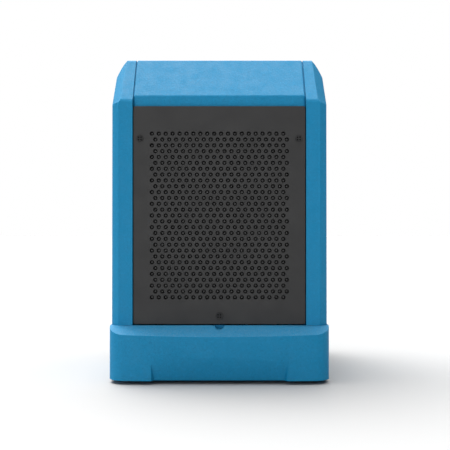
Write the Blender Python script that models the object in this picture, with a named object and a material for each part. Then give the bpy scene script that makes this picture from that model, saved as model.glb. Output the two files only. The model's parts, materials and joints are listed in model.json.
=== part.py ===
"""Commercial refrigerant dehumidifier on two rear wheels.

Metres, +Z up. The air intake faces -Y, the outlet +Y. The origin is on the floor, under the centre.
"""

import math

import bmesh
import bpy
from mathutils import Matrix, Vector

# Clearance left between neighbouring pieces
GAP = 0.0003

# Casing. A band is the rounded chamfer along a side edge: its width across, and its depth into the face
TOTAL_HEIGHT = 0.5689
BODY_HALF_WIDTH = 0.1873
BODY_FRONT_Y = -0.190
BODY_REAR_Y = 0.185
BODY_BOTTOM_Z = 0.0978
SLOPE_START_Z = 0.4875
SLOPE_RUN = 0.065
SLOPE_RISE = (TOTAL_HEIGHT - SLOPE_START_Z) / SLOPE_RUN
WALL = 0.004
RIDGE_INNER_X = 0.1505
RIDGE_RETURN = 0.022
UPRIGHT_BAND = 0.0125
LOWER_SLOPE_BAND = 0.0165
UPPER_SLOPE_BAND = 0.0205
TOP_BAND = 0.0215
BOTTOM_BAND_DEPTH = 0.012
SHOULDER_BAND_DEPTH = 0.0165
CREST_BAND_DEPTH = 0.030
BAND_SHARPNESS = 1.82
BAND_STEPS = 6
SHOULDER_RADIUS = 0.014
CREST_RADIUS = 0.008
CORNER_STEPS = 4

# Centre cover between the ridges
COVER_HALF_WIDTH = 0.1487
COVER_SETBACK = 0.0071
COVER_BOTTOM_Z = 0.4778
COVER_RETURN = 0.016
COVER_ROUNDING = 0.0025
LIP_HALF_WIDTH = 0.1502
LIP_STEP = 0.003

# Intake grille and rear panel
PANEL_HALF_WIDTH = 0.149
PANEL_BOTTOM_Z = 0.0999
PANEL_TOP_Z = 0.4775
PANEL_SHEET = 0.0015
PANEL_RETURN = 0.012
GRILLE_FACE_Y = BODY_FRONT_Y + 0.002
REAR_PANEL_Y = 0.1825
REAR_SCREWS = [(x, z) for x in (-0.141, 0.141) for z in (0.190, 0.450)]
CORD_X, DRAIN_X, PORT_Z = -0.060, 0.060, 0.1750
PORT_RADIUS = 0.0080

# Quarter-turn fasteners: name, centre in X and Z, head radius
FASTENERS = (
    ("grille_fastener_left", -0.1377, 0.4214, 0.0058),
    ("grille_fastener_right", 0.1377, 0.4214, 0.0058),
    ("grille_fastener_bottom", 0.0, 0.1138, 0.0066),
)
STUD_RADIUS = 0.0032

# Base
BASE_HALF_WIDTH = 0.1897
BASE_FRONT_Y = -0.225
BASE_REAR_Y = 0.190
BASE_BOTTOM_Z = 0.0066
BASE_TOP_Z = 0.0975
LEDGE_FRONT_Z = 0.0819
LEDGE_SLOPE = (BASE_TOP_Z - LEDGE_FRONT_Z) / (BODY_FRONT_Y - BASE_FRONT_Y)
FRONT_BOW = 0.006
BASE_CORNER_RADIUS = 0.029
BASE_WALL = 0.005
PAN_TOP_Z = BASE_BOTTOM_Z + BASE_WALL
RECESS_TOP_Z = 0.0486
RECESS_HALF_WIDTH = 0.1175
RECESS_DEPTH = 0.014
RECESS_DRAFT = 0.57
SCOOP_RADIUS = 0.0092
SCOOP_Z = BASE_TOP_Z + 0.0022
SCOOP_REACH = 0.007
FOOT_RADIUS = 0.016
FOOT_X, FOOT_Y = 0.148, -0.180

# Wheels
WHEEL_RADIUS = 0.075
WHEEL_WIDTH = 0.040
WHEEL_CENTRE_X = 0.158
WHEEL_Y = 0.140
RIM_RADIUS = 0.053
AXLE_RADIUS = 0.006
AXLE_HALF_LENGTH = 0.1795
WHEEL_HOUSE_RADIUS = 0.083
WHEEL_HOUSE_INNER_X = 0.131
WHEEL_HOUSE_WALL = 0.004

# Filter and its channel
FILTER_HALF_WIDTH = 0.1305
FILTER_BOTTOM_Z, FILTER_TOP_Z = 0.1215, 0.4625
FILTER_FRONT_Y, FILTER_BACK_Y = -0.1745, -0.1555
CHANNEL_HALF_WIDTH = 0.1475
CHANNEL_BOTTOM_Z, CHANNEL_TOP_Z = 0.102, 0.474

# Coils
COIL_HALF_WIDTH = 0.118
COIL_DEPTH = 0.042
COIL_BOTTOM_Z = 0.196
COIL_TOP_Z = 0.462
COIL_FINS = 22
HEADER_ROWS = 6
EVAPORATOR_Y = -0.140
CONDENSER_Y = -0.090
TRAY_HALF_WIDTH = 0.126
TRAY_FRONT_Y, TRAY_BACK_Y = -0.146, -0.036
TRAY_BOTTOM_Z, TRAY_TOP_Z = 0.164, 0.190
SPOUT_X, SPOUT_Y = 0.100, -0.060

# Fan and outlet
FAN_Z = 0.330
FAN_Y = 0.020
FAN_RADIUS = 0.112
FAN_BLADES = 7
HUB_RADIUS = 0.034
DUCT_RADIUS = 0.101
COLLAR_END_Y = 0.225
GUARD_RINGS = 4
GUARD_SECTORS = 6
GUARD_WIRE = 0.0028

# Machinery
COMPRESSOR_X = -0.058
COMPRESSOR_Y = 0.045
COMPRESSOR_Z = 0.0280
COMPRESSOR_LEG_Z = 0.0310
COMPRESSOR_LEG_RADIUS = 0.0040
ACCUMULATOR_X = 0.030
ACCUMULATOR_Y = 0.005
ACCUMULATOR_Z = 0.060
PIPE_X = 0.1303
TANK_LOW = (0.030, 0.030, PAN_TOP_Z + GAP)
TANK_HIGH = (0.112, 0.122, 0.085)
FLOAT_PIVOT = (0.040, 0.076, 0.070)

# Electrics and controls
BOX_LOW = (-0.130, 0.000, 0.482)
BOX_HIGH = (0.130, 0.112, 0.522)
BOARD_Z = 0.4900
BOARD_RELAYS = (
    (-0.090, 0.040, 0.020, 0.016, 0.014),
    (-0.050, 0.070, 0.018, 0.018, 0.012),
    (-0.020, 0.038, 0.012, 0.026, 0.010),
    (0.000, 0.075, 0.014, 0.014, 0.016),
)
CAPACITOR_START = (0.036, 0.056, 0.5015)
CONTROL_LOW = (-0.070, -0.090, 0.55)
CONTROL_HIGH = (0.070, -0.010, 0.60)
CONTROL_TOP_Z = TOTAL_HEIGHT - 0.0035
BUTTONS = {"button_mode": -0.022, "button_down": 0.000, "button_up": 0.022}
BUTTON_RADIUS = 0.0075
BUTTON_Y = -0.068
SWITCH_X, SWITCH_Y = 0.050, -0.052

# Telescopic handle
HANDLE_TUBE_X = 0.124
HANDLE_TUBE_RADIUS = 0.008
HANDLE_Y = 0.203
HANDLE_BOTTOM_Z = 0.125
HANDLE_BEND = 0.022
GRIP_Z = 0.538
GRIP_LENGTH = 0.130
GRIP_WALL = 0.0045
GUIDE_BOTTOM_Z, GUIDE_TOP_Z = 0.385, 0.455
GUIDE_HALF_WIDTH = 0.0125

COLOURS = {
    "casing_blue": ((0.022, 0.206, 0.397, 1.0), 0.45, 0.0),
    "grille_charcoal": ((0.048, 0.048, 0.048, 1.0), 0.5, 0.3),
    "dark_plastic": ((0.02, 0.02, 0.022, 1.0), 0.5, 0.0),
    "rubber": ((0.015, 0.015, 0.015, 1.0), 0.8, 0.0),
    "steel": ((0.55, 0.55, 0.56, 1.0), 0.3, 1.0),
    "aluminium": ((0.72, 0.73, 0.74, 1.0), 0.35, 1.0),
    "copper": ((0.72, 0.36, 0.2, 1.0), 0.3, 1.0),
    "compressor_black": ((0.025, 0.025, 0.027, 1.0), 0.4, 0.2),
    "filter_media": ((0.12, 0.12, 0.12, 1.0), 0.9, 0.0),
    "galvanised": ((0.5, 0.52, 0.54, 1.0), 0.45, 0.9),
    "light_plastic": ((0.75, 0.75, 0.73, 1.0), 0.5, 0.0),
    "board_green": ((0.02, 0.16, 0.06, 1.0), 0.5, 0.0),
    "display_glass": ((0.01, 0.012, 0.015, 1.0), 0.1, 0.0),
}

X_AXIS, Y_AXIS, Z_AXIS = Vector((1, 0, 0)), Vector((0, 1, 0)), Vector((0, 0, 1))


# ---------------------------------------------------------------- helpers

def clear_scene():
    for obj in list(bpy.data.objects):
        bpy.data.objects.remove(obj, do_unlink=True)


def material(slot):
    if slot in bpy.data.materials:
        return bpy.data.materials[slot]
    colour, roughness, metallic = COLOURS[slot]
    made = bpy.data.materials.new(slot)
    made.use_nodes = True
    shader = made.node_tree.nodes["Principled BSDF"]
    shader.inputs["Base Color"].default_value = colour
    shader.inputs["Roughness"].default_value = roughness
    shader.inputs["Metallic"].default_value = metallic
    return made


def mesh_object(name, mesh):
    obj = bpy.data.objects.new(name, mesh)
    bpy.context.scene.collection.objects.link(obj)
    return obj


def from_bmesh(name, bm):
    bmesh.ops.recalc_face_normals(bm, faces=bm.faces)
    mesh = bpy.data.meshes.new(name)
    bm.to_mesh(mesh)
    bm.free()
    return mesh_object(name, mesh)


def box(name, low, high):
    bm = bmesh.new()
    bmesh.ops.create_cube(bm, size=1.0)
    centre = (Vector(low) + Vector(high)) / 2
    size = Vector(high) - Vector(low)
    bmesh.ops.scale(bm, vec=size, verts=bm.verts)
    bmesh.ops.translate(bm, vec=centre, verts=bm.verts)
    return from_bmesh(name, bm)


def along(axis):
    """The rotation that carries +Z onto an axis."""
    return Vector((0, 0, 1)).rotation_difference(Vector(axis)).to_matrix().to_4x4()


def cylinder(name, start, axis, length, radius, segments=24):
    """A cylinder from its start point along its axis."""
    bm = bmesh.new()
    bmesh.ops.create_cone(
        bm, cap_ends=True, segments=segments, depth=length, radius1=radius, radius2=radius,
    )
    middle = Vector(start) + Vector(axis).normalized() * length / 2
    bm.transform(Matrix.Translation(middle) @ along(axis))
    return from_bmesh(name, bm)


def prism(name, outline, axis, low, high):
    """A flat outline pushed along X, Y or Z. The outline's own two axes keep their X, Y, Z order."""
    place = {
        "X": lambda u, v, d: (d, u, v),
        "Y": lambda u, v, d: (u, d, v),
        "Z": lambda u, v, d: (u, v, d),
    }[axis]
    bm = bmesh.new()
    near = [bm.verts.new(place(u, v, low)) for u, v in outline]
    far = [bm.verts.new(place(u, v, high)) for u, v in outline]
    bm.faces.new(near)
    bm.faces.new(far)
    for index in range(len(outline)):
        after = (index + 1) % len(outline)
        bm.faces.new((near[index], near[after], far[after], far[index]))
    return from_bmesh(name, bm)


def turned(name, profile, start, axis, segments=32):
    """A closed profile of (radius, distance along the axis) points, turned into a ring or a solid."""
    bm = bmesh.new()
    rings = []
    for radius, distance in profile:
        if radius == 0:
            rings.append([bm.verts.new((0, 0, distance))] * segments)
            continue
        rings.append([
            bm.verts.new((
                radius * math.cos(math.tau * step / segments),
                radius * math.sin(math.tau * step / segments),
                distance,
            ))
            for step in range(segments)
        ])
    for ring, after in zip(rings, rings[1:] + rings[:1]):
        for step in range(segments):
            turn = (step + 1) % segments
            corners = [ring[step], ring[turn], after[turn], after[step]]
            corners = [v for i, v in enumerate(corners) if v not in corners[:i]]
            if len(corners) > 2:
                bm.faces.new(corners)
    bm.transform(Matrix.Translation(Vector(start)) @ along(axis))
    return from_bmesh(name, bm)


def pipe(name, points, radius, sides=8):
    """A round tube through points, with filled ends."""
    curve = bpy.data.curves.new(name, "CURVE")
    curve.dimensions = "3D"
    curve.bevel_depth = radius
    curve.bevel_resolution = sides // 4 - 1 if sides > 4 else 0
    curve.use_fill_caps = True
    spline = curve.splines.new("POLY")
    spline.points.add(len(points) - 1)
    for point, place in zip(spline.points, points):
        point.co = (*place, 1.0)
    drawn = bpy.data.objects.new(name, curve)
    bpy.context.scene.collection.objects.link(drawn)
    graph = bpy.context.evaluated_depsgraph_get()
    mesh = bpy.data.meshes.new_from_object(drawn.evaluated_get(graph))
    bpy.data.objects.remove(drawn, do_unlink=True)
    bm = bmesh.new()
    bm.from_mesh(mesh)
    bmesh.ops.remove_doubles(bm, verts=bm.verts, dist=0.00001)
    bpy.data.meshes.remove(mesh)
    return from_bmesh(name, bm)


def smooth_route(corners, steps=4):
    """A Catmull-Rom curve through the corners, as a list of points."""
    points = [Vector(corner) for corner in corners]
    padded = [points[0] * 2 - points[1], *points, points[-1] * 2 - points[-2]]
    route = []
    for before, start, end, after in zip(padded, padded[1:], padded[2:], padded[3:]):
        for step in range(steps):
            t = step / steps
            route.append(0.5 * (
                2 * start + (end - before) * t
                + (2 * before - 5 * start + 4 * end - after) * t * t
                + (3 * start - before - 3 * end + after) * t ** 3
            ))
    return route + [points[-1]]


def boolean(target, tool, operation="DIFFERENCE"):
    """Cuts, joins or intersects, keeps the result and removes the tool."""
    step = target.modifiers.new("step", "BOOLEAN")
    step.object = tool
    step.operation = operation
    step.solver = "EXACT"
    graph = bpy.context.evaluated_depsgraph_get()
    mesh = bpy.data.meshes.new_from_object(target.evaluated_get(graph))
    target.modifiers.clear()
    target.data = mesh
    bpy.data.objects.remove(tool, do_unlink=True)
    return target


def cut(target, *tools):
    for tool in tools:
        boolean(target, tool)
    return target


def join(target, *tools):
    for tool in tools:
        boolean(target, tool, "UNION")
    return target


def finish(obj, name, slot, origin=(0, 0, 0), angle=35):
    """Names a piece, gives it its material and its origin, and shades its round faces smooth."""
    obj.name = name
    obj.data.name = name
    obj.data.materials.clear()
    obj.data.materials.append(material(slot))
    obj.data.transform(Matrix.Translation(-Vector(origin)))
    obj.location = origin
    obj.data.shade_smooth()
    obj.data.set_sharp_from_angle(angle=math.radians(angle))
    bpy.context.view_layer.update()
    return obj


def arc(centre, radius, start, end, steps):
    """Points on a circle from one angle to another, in degrees."""
    return [
        (
            centre[0] + radius * math.cos(math.radians(start + (end - start) * step / steps)),
            centre[1] + radius * math.sin(math.radians(start + (end - start) * step / steps)),
        )
        for step in range(steps + 1)
    ]


def rounded_rectangle(low, high, radius, steps=4):
    """An outline with four round corners, from its lower left and upper right corners."""
    return (
        arc((high[0] - radius, high[1] - radius), radius, 0, 90, steps)
        + arc((low[0] + radius, high[1] - radius), radius, 90, 180, steps)
        + arc((low[0] + radius, low[1] + radius), radius, 180, 270, steps)
        + arc((high[0] - radius, low[1] + radius), radius, 270, 360, steps)
    )


# ---------------------------------------------------------------- casing

def casing_profile(inset, setback=0.0, bottom=BODY_BOTTOM_Z):
    """The casing's side outline in Y and Z: upright, sloped, flat, sloped, upright."""
    lean = inset * math.hypot(1, SLOPE_RISE)
    inner = inset + setback
    shoulder = SLOPE_START_Z + inner * SLOPE_RISE - lean
    top = TOTAL_HEIGHT - inset
    run = (top - SLOPE_START_Z + lean) / SLOPE_RISE
    return [
        (BODY_FRONT_Y + inner, bottom + inset),
        (BODY_FRONT_Y + inner, shoulder),
        (BODY_FRONT_Y + run, top),
        (BODY_REAR_Y - run, top),
        (BODY_REAR_Y - inner, shoulder),
        (BODY_REAR_Y - inner, bottom + inset),
    ]


def bevelled(obj, width, segments, angle=20):
    """Rounds an object's sharp edges and applies the result to its mesh."""
    step = obj.modifiers.new("bevel", "BEVEL")
    step.width = width
    step.segments = segments
    step.limit_method = "ANGLE"
    step.angle_limit = math.radians(angle)
    graph = bpy.context.evaluated_depsgraph_get()
    mesh = bpy.data.meshes.new_from_object(obj.evaluated_get(graph))
    obj.modifiers.clear()
    obj.data = mesh
    return obj


def corner_stations(before, corner, after, band_before, band_after, depth, radius):
    """Sections round one corner of the side outline.

    Each is the sharp corner, the way inwards to the mitre, the rounded corner's own normal and radius,
    and the side band's width and depth there.
    """
    into, out = (corner - before).normalized(), (after - corner).normalized()
    first, last = Vector((into.y, -into.x)), Vector((out.y, -out.x))
    mitre = (first + last) / (1 + first.dot(last))
    stations = []
    for step in range(CORNER_STEPS + 1):
        share = step / CORNER_STEPS
        normal = first.slerp(last, share)
        band = band_before + (band_after - band_before) * share
        stations.append((corner, mitre, normal, radius, band, depth))
    return stations


def section_point(station, depth):
    """Where the outline runs at a station once it is drawn in by a depth."""
    corner, mitre, normal, radius, _, _ = station
    if depth < radius:
        return corner + mitre * radius - normal * (radius - depth)
    return corner + mitre * depth


def casing_stations(inset):
    outline = [Vector(point) for point in casing_profile(inset)]
    shoulder = (UPRIGHT_BAND, LOWER_SLOPE_BAND, SHOULDER_BAND_DEPTH, max(SHOULDER_RADIUS - inset, 0.0))
    crest = (UPPER_SLOPE_BAND, TOP_BAND, CREST_BAND_DEPTH, max(CREST_RADIUS - inset, 0.0))
    corners = [shoulder, crest]
    corners += [(after, before, *rest) for before, after, *rest in (crest, shoulder)]
    inwards = Vector((1, 0))
    stations = [(outline[0], inwards, inwards, 0.0, UPRIGHT_BAND, BOTTOM_BAND_DEPTH)]
    for index, corner in enumerate(corners, 1):
        stations += corner_stations(*outline[index - 1:index + 2], *corner)
    stations.append((outline[-1], -inwards, -inwards, 0.0, UPRIGHT_BAND, BOTTOM_BAND_DEPTH))
    return stations


def casing_solid(inset):
    """The casing's outer form, drawn in by a thickness: sections with a rounded chamfer at each side."""
    half = BODY_HALF_WIDTH - inset
    narrower = 0.6 * inset
    bm = bmesh.new()
    rows = []
    for station in casing_stations(inset):
        width, depth = (max(size - narrower, 0.001) for size in station[4:])
        right = []
        for step in range(BAND_STEPS + 1):
            angle = math.pi / 2 * step / BAND_STEPS
            x = half - width * (1 - math.sin(angle) ** BAND_SHARPNESS)
            y, z = section_point(station, depth * (1 - abs(math.cos(angle)) ** BAND_SHARPNESS))
            right.append((x, y, z))
        row = [(-x, y, z) for x, y, z in reversed(right)] + right
        rows.append([bm.verts.new(point) for point in row])
    for row, after in zip(rows, rows[1:]):
        for index in range(len(row) - 1):
            bm.faces.new((row[index], row[index + 1], after[index + 1], after[index]))
    bm.faces.new([row[0] for row in rows])
    bm.faces.new([row[-1] for row in rows])
    bm.faces.new(rows[0] + rows[-1][::-1])
    bmesh.ops.remove_doubles(bm, verts=bm.verts, dist=0.000001)
    bmesh.ops.triangulate(bm, faces=[face for face in bm.faces if len(face.verts) == 4])
    return from_bmesh("casing", bm)


def slab(low_x, high_x):
    return box("slab", (low_x, -0.3, -0.1), (high_x, 0.3, 0.7))


def wheel_well(side, radius, low_x, high_x, low_z):
    """The space of a wheel house: a round top over straight sides."""
    outline = arc((WHEEL_Y, WHEEL_RADIUS), radius, 0, 180, 20)
    outline += [(WHEEL_Y - radius, low_z), (WHEEL_Y + radius, low_z)]
    ends = sorted((side * low_x, side * high_x))
    return prism("well", outline, "X", *ends)


def make_side_shell(side, name):
    skin = cut(casing_solid(0), casing_solid(WALL))
    boolean(skin, slab(*sorted((side * RIDGE_INNER_X, side * 0.2))), "INTERSECT")
    rim = cut(casing_solid(WALL / 2), casing_solid(RIDGE_RETURN))
    rim_ends = sorted((side * (RIDGE_INNER_X + 0.0002), side * (RIDGE_INNER_X + WALL)))
    boolean(rim, slab(*rim_ends), "INTERSECT")
    join(skin, rim)
    outer = WHEEL_HOUSE_RADIUS + WHEEL_HOUSE_WALL + GAP
    cut(skin, wheel_well(side, outer, RIDGE_INNER_X - 0.01, 0.2, 0.0))
    return finish(skin, name, "casing_blue")


def make_top_cover():
    """The skin between the ridges, with a lip sunk under each ridge's edge."""
    half = COVER_HALF_WIDTH
    low_z = COVER_BOTTOM_Z - 0.05
    skin = prism("cover", casing_profile(0, COVER_SETBACK, low_z), "X", -half, half)
    bevelled(skin, COVER_ROUNDING, 2)
    lip = prism("lip", casing_profile(LIP_STEP, COVER_SETBACK, low_z), "X", -LIP_HALF_WIDTH, LIP_HALF_WIDTH)
    join(skin, lip)
    cut(skin, box("below", (-0.2, -0.3, 0), (0.2, 0.3, COVER_BOTTOM_Z)))
    inside = casing_profile(WALL, COVER_SETBACK, low_z)
    cut(skin, prism("inner", inside, "X", -half + WALL, half - WALL))
    under = casing_profile(COVER_RETURN, COVER_SETBACK, low_z)
    cut(skin, prism("cheek", under, "X", -0.2, 0.2))
    cut(skin, box("window", CONTROL_LOW, CONTROL_HIGH))
    return finish(skin, "top_cover", "casing_blue")


# ---------------------------------------------------------------- base

def base_outline(inset):
    """The base's plan: a bowed front, and four round corners."""
    half = BASE_HALF_WIDTH - inset
    front = BASE_FRONT_Y + inset
    rear = BASE_REAR_Y - inset
    radius = BASE_CORNER_RADIUS - inset
    bow_half = half - radius
    corner_y = front + FRONT_BOW + radius
    bow = [
        (-bow_half + 2 * bow_half * step / 8, front + FRONT_BOW * (abs(step - 4) / 4) ** 2)
        for step in range(1, 8)
    ]
    rear_radius = radius / 4
    return (
        arc((half - rear_radius, rear - rear_radius), rear_radius, 0, 90, 4)
        + arc((-half + rear_radius, rear - rear_radius), rear_radius, 90, 180, 4)
        + arc((-bow_half, corner_y), radius, 180, 265, 6)
        + bow
        + arc((bow_half, corner_y), radius, 275, 360, 6)
    )


def base_solid(inset):
    """The base's outer form, drawn in by its wall: an upright tub whose front slopes as a ledge."""
    solid = prism("base", base_outline(inset), "Z", BASE_BOTTOM_Z + inset, BASE_TOP_Z - inset)
    drop = inset * math.hypot(1, LEDGE_SLOPE)
    top = BASE_TOP_Z - drop
    above = [
        (BODY_FRONT_Y + 0.01, top + 0.01 * LEDGE_SLOPE), (BODY_FRONT_Y + 0.01, 0.2), (-0.3, 0.2),
        (-0.3, top - (BODY_FRONT_Y + 0.3) * LEDGE_SLOPE),
    ]
    cut(solid, prism("above", above, "X", -0.3, 0.3))
    return solid


def recess_cutter(grow):
    """The wedge between the front feet: deeper towards the floor, narrower towards its back."""
    top, bottom, front = RECESS_TOP_Z + grow, BASE_BOTTOM_Z - 0.01, -0.3
    outline = [
        (front, top), (BASE_FRONT_Y, top), (BASE_FRONT_Y + RECESS_DEPTH + grow, bottom), (front, bottom),
    ]
    bm = bmesh.new()
    sides = []
    for side in (-1, 1):
        row = []
        for y, z in outline:
            half = RECESS_HALF_WIDTH + grow - RECESS_DRAFT * (y - BASE_FRONT_Y)
            row.append(bm.verts.new((side * half, y, z)))
        sides.append(row)
    left, right = sides
    bm.faces.new(left)
    bm.faces.new(right)
    for index in range(len(outline)):
        after = (index + 1) % len(outline)
        bm.faces.new((left[index], left[after], right[after], right[index]))
    return from_bmesh("recess", bm)


def make_base():
    tub = base_solid(0)
    cut(tub, recess_cutter(0))
    inner = cut(base_solid(BASE_WALL), recess_cutter(BASE_WALL))
    mouth_half, mouth_end = BASE_HALF_WIDTH - 0.0155, 0.012
    mouth_low = (-mouth_half, BODY_FRONT_Y + mouth_end, BASE_TOP_Z - 0.02)
    mouth_high = (mouth_half, BASE_REAR_Y - mouth_end, BASE_TOP_Z + 0.02)
    join(inner, box("mouth", mouth_low, mouth_high))
    cut(tub, inner)
    house = WHEEL_HOUSE_RADIUS + WHEEL_HOUSE_WALL
    house_inner, house_outer = WHEEL_HOUSE_INNER_X - WHEEL_HOUSE_WALL, BASE_HALF_WIDTH - 0.0035
    bore = arc((WHEEL_Y, WHEEL_RADIUS), AXLE_RADIUS + 0.0004, 0, 345, 23)
    for side in (-1, 1):
        shell = wheel_well(side, house, house_inner, house_outer, BASE_BOTTOM_Z + 0.001)
        cut(shell, prism("axle_hole", bore, "X", -0.2, 0.2))
        boolean(shell, box("clip", (-0.3, -0.3, -0.1), (0.3, BASE_REAR_Y - WALL, 0.3)), "INTERSECT")
        join(tub, shell)
    for side in (-1, 1):
        cut(tub, wheel_well(side, WHEEL_HOUSE_RADIUS, WHEEL_HOUSE_INNER_X, 0.3, -0.01))
    cup = arc((0, SCOOP_Z), SCOOP_RADIUS + 0.003, 210, 330, 10)
    join(tub, prism("cup", cup, "Y", BODY_FRONT_Y - SCOOP_REACH, BODY_FRONT_Y + SCOOP_REACH + 0.003))
    scoop_start = (0, BODY_FRONT_Y - 0.019, SCOOP_Z)
    cut(tub, cylinder("scoop", scoop_start, Y_AXIS, 0.019 + SCOOP_REACH, SCOOP_RADIUS, 24))
    return finish(tub, "base_tub", "casing_blue")


# ---------------------------------------------------------------- intake side

def make_grille():
    """A folded sheet. Its perforations are too fine for this solid."""
    face, back = GRILLE_FACE_Y, GRILLE_FACE_Y + PANEL_RETURN
    half = PANEL_HALF_WIDTH
    outline = rounded_rectangle((-half, PANEL_BOTTOM_Z), (half, PANEL_TOP_Z), 0.003)
    sheet = prism("sheet", outline, "Y", face, back)
    inside = half - PANEL_SHEET
    low = (-inside, face + PANEL_SHEET, PANEL_BOTTOM_Z + PANEL_SHEET)
    high = (inside, back + 0.01, PANEL_TOP_Z - PANEL_SHEET)
    cut(sheet, box("inside", low, high))
    for _, x, z, _ in FASTENERS:
        cut(sheet, cylinder("hole", (x, face - 0.01, z), Y_AXIS, 0.02, STUD_RADIUS + 0.0004, 20))
    return finish(sheet, "intake_grille", "grille_charcoal")


def make_fastener(name, x, z, radius):
    """A quarter-turn stud: a ring head with a cross rib in it, and a cross pin behind the sheet."""
    head_back = GRILLE_FACE_Y - GAP
    thickness, floor = 0.0020, 0.0005
    rim, rib, pocket = 0.0010, 0.0010, 0.0032
    profile = [
        (0, -thickness + 0.0004), (radius - rim, -thickness + 0.0004), (radius - rim, -thickness),
        (radius - 0.0004, -thickness), (radius, -thickness + 0.0004), (radius, 0), (STUD_RADIUS, 0),
        (STUD_RADIUS, 0.010), (0, 0.010),
    ]
    stud = turned(name, profile, (x, head_back, z), Y_AXIS, 20)
    pin_low = (x - 0.0065, head_back + 0.0055, z - 0.0012)
    join(stud, box("pin", pin_low, (x + 0.0065, head_back + 0.0085, z + 0.0012)))
    for across in (-1, 1):
        for up in (-1, 1):
            ends_x = sorted((x + across * rib, x + across * pocket))
            ends_z = sorted((z + up * rib, z + up * pocket))
            low = (ends_x[0], head_back - 0.01, ends_z[0])
            cut(stud, box("pocket", low, (ends_x[1], head_back - floor, ends_z[1])))
    return finish(stud, name, "dark_plastic", origin=(x, head_back, z))


def make_filter():
    low_z, high_z, half = FILTER_BOTTOM_Z, FILTER_TOP_Z, FILTER_HALF_WIDTH
    front, back, rail = FILTER_FRONT_Y, FILTER_BACK_Y, 0.005
    frame = box("frame", (-half, front, low_z), (half, back, high_z))
    cut(frame, box("hole", (-half + rail, -0.2, low_z + rail), (half - rail, 0, high_z - rail)))
    finish(frame, "filter_frame", "dark_plastic")
    pleats, thick, clear = 24, 0.0012, rail + 0.0005
    side = half - clear
    pitch = side / pleats
    near, deep = front + 0.003, back - 0.004
    fold = [(-side + pitch * step, near if step % 2 else deep) for step in range(2 * pleats + 1)]
    outline = fold + [(x, y + thick) for x, y in reversed(fold)]
    media = prism("media", outline, "Z", low_z + clear, high_z - clear)
    finish(media, "filter_media", "filter_media", angle=20)


def make_filter_channel():
    """The moulded channel that holds the filter and takes the grille's quarter-turn studs."""
    front, back, floor = FILTER_FRONT_Y - 0.001, -0.1500, 0.004
    half, shelf = CHANNEL_HALF_WIDTH, 0.0065
    seat_half = FILTER_HALF_WIDTH + 0.001
    seat_low_z, seat_high_z = FILTER_BOTTOM_Z - 0.001, FILTER_TOP_Z + 0.001
    channel = box("channel", (-half, front, CHANNEL_BOTTOM_Z), (half, back, CHANNEL_TOP_Z))
    cut(channel, box("seat", (-seat_half, -0.2, seat_low_z), (seat_half, back - floor, seat_high_z)))
    air_half = FILTER_HALF_WIDTH - shelf
    air_low = (-air_half, -0.2, FILTER_BOTTOM_Z + shelf)
    cut(channel, box("air", air_low, (air_half, 0, FILTER_TOP_Z - shelf)))
    for _, x, z, _ in FASTENERS:
        cut(channel, cylinder("socket", (x, -0.2, z), Y_AXIS, 0.045, 0.0072, 20))
    return finish(channel, "filter_channel", "dark_plastic")


def make_coil(name, front_y):
    """A finned block: a comb outline pushed upwards."""
    pitch = 2 * COIL_HALF_WIDTH / COIL_FINS
    fin = 0.45 * pitch
    fin_back, back = front_y + 0.4 * COIL_DEPTH, front_y + COIL_DEPTH
    comb = []
    for index in range(COIL_FINS):
        x = -COIL_HALF_WIDTH + pitch * index
        comb += [(x, front_y), (x + fin, front_y), (x + fin, fin_back), (x + pitch, fin_back)]
    comb += [(COIL_HALF_WIDTH, back), (-COIL_HALF_WIDTH, back)]
    finish(prism(name, comb, "Z", COIL_BOTTOM_Z, COIL_TOP_Z), name, "aluminium")


def make_header(name, coil_front_y):
    """The upright pipe that gathers the coil's tubes, with one stub for each tube row."""
    x, y, end = PIPE_X, coil_front_y + COIL_DEPTH / 2, 0.010
    length = COIL_TOP_Z - COIL_BOTTOM_Z - 2 * end
    header = cylinder(name, (x, y, COIL_BOTTOM_Z + end), Z_AXIS, length, 0.0040, 10)
    for row in range(HEADER_ROWS):
        start = (COIL_HALF_WIDTH + GAP, y, COIL_BOTTOM_Z + 0.030 + row * 0.041)
        join(header, cylinder("stub", start, X_AXIS, x - COIL_HALF_WIDTH, 0.0028, 8))
    finish(header, name, "copper")


def make_coil_bracket(side, name):
    sheet, inner_x, bottom = 0.002, 0.1345, 0.192
    low_x, high_x = sorted((side * inner_x, side * (inner_x + sheet)))
    plate = box(name, (low_x, TRAY_FRONT_Y, bottom), (high_x, TRAY_BACK_Y, CHANNEL_TOP_Z))
    low_x, high_x = sorted((side * inner_x, side * CHANNEL_HALF_WIDTH))
    join(plate, box("foot", (low_x, TRAY_FRONT_Y, bottom), (high_x, TRAY_BACK_Y, bottom + sheet)))
    finish(plate, name, "galvanised")


def make_drip_tray():
    half, wall = TRAY_HALF_WIDTH, 0.0025
    tray = box("tray", (-half, TRAY_FRONT_Y, TRAY_BOTTOM_Z), (half, TRAY_BACK_Y, TRAY_TOP_Z))
    low = (-half + wall, TRAY_FRONT_Y + wall, TRAY_BOTTOM_Z + wall)
    cut(tray, box("inside", low, (half - wall, TRAY_BACK_Y - wall, TRAY_TOP_Z + 0.1)))
    spout_bottom = TRAY_BOTTOM_Z - 0.014
    length = TRAY_BOTTOM_Z + wall / 2 - spout_bottom
    join(tray, cylinder("spout", (SPOUT_X, SPOUT_Y, spout_bottom), Z_AXIS, length, 0.006, 16))
    cut(tray, cylinder("drain", (SPOUT_X, SPOUT_Y, spout_bottom - 0.01), Z_AXIS, 0.05, 0.004, 16))
    finish(tray, "drip_tray", "dark_plastic")


# ---------------------------------------------------------------- fan and outlet

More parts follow.
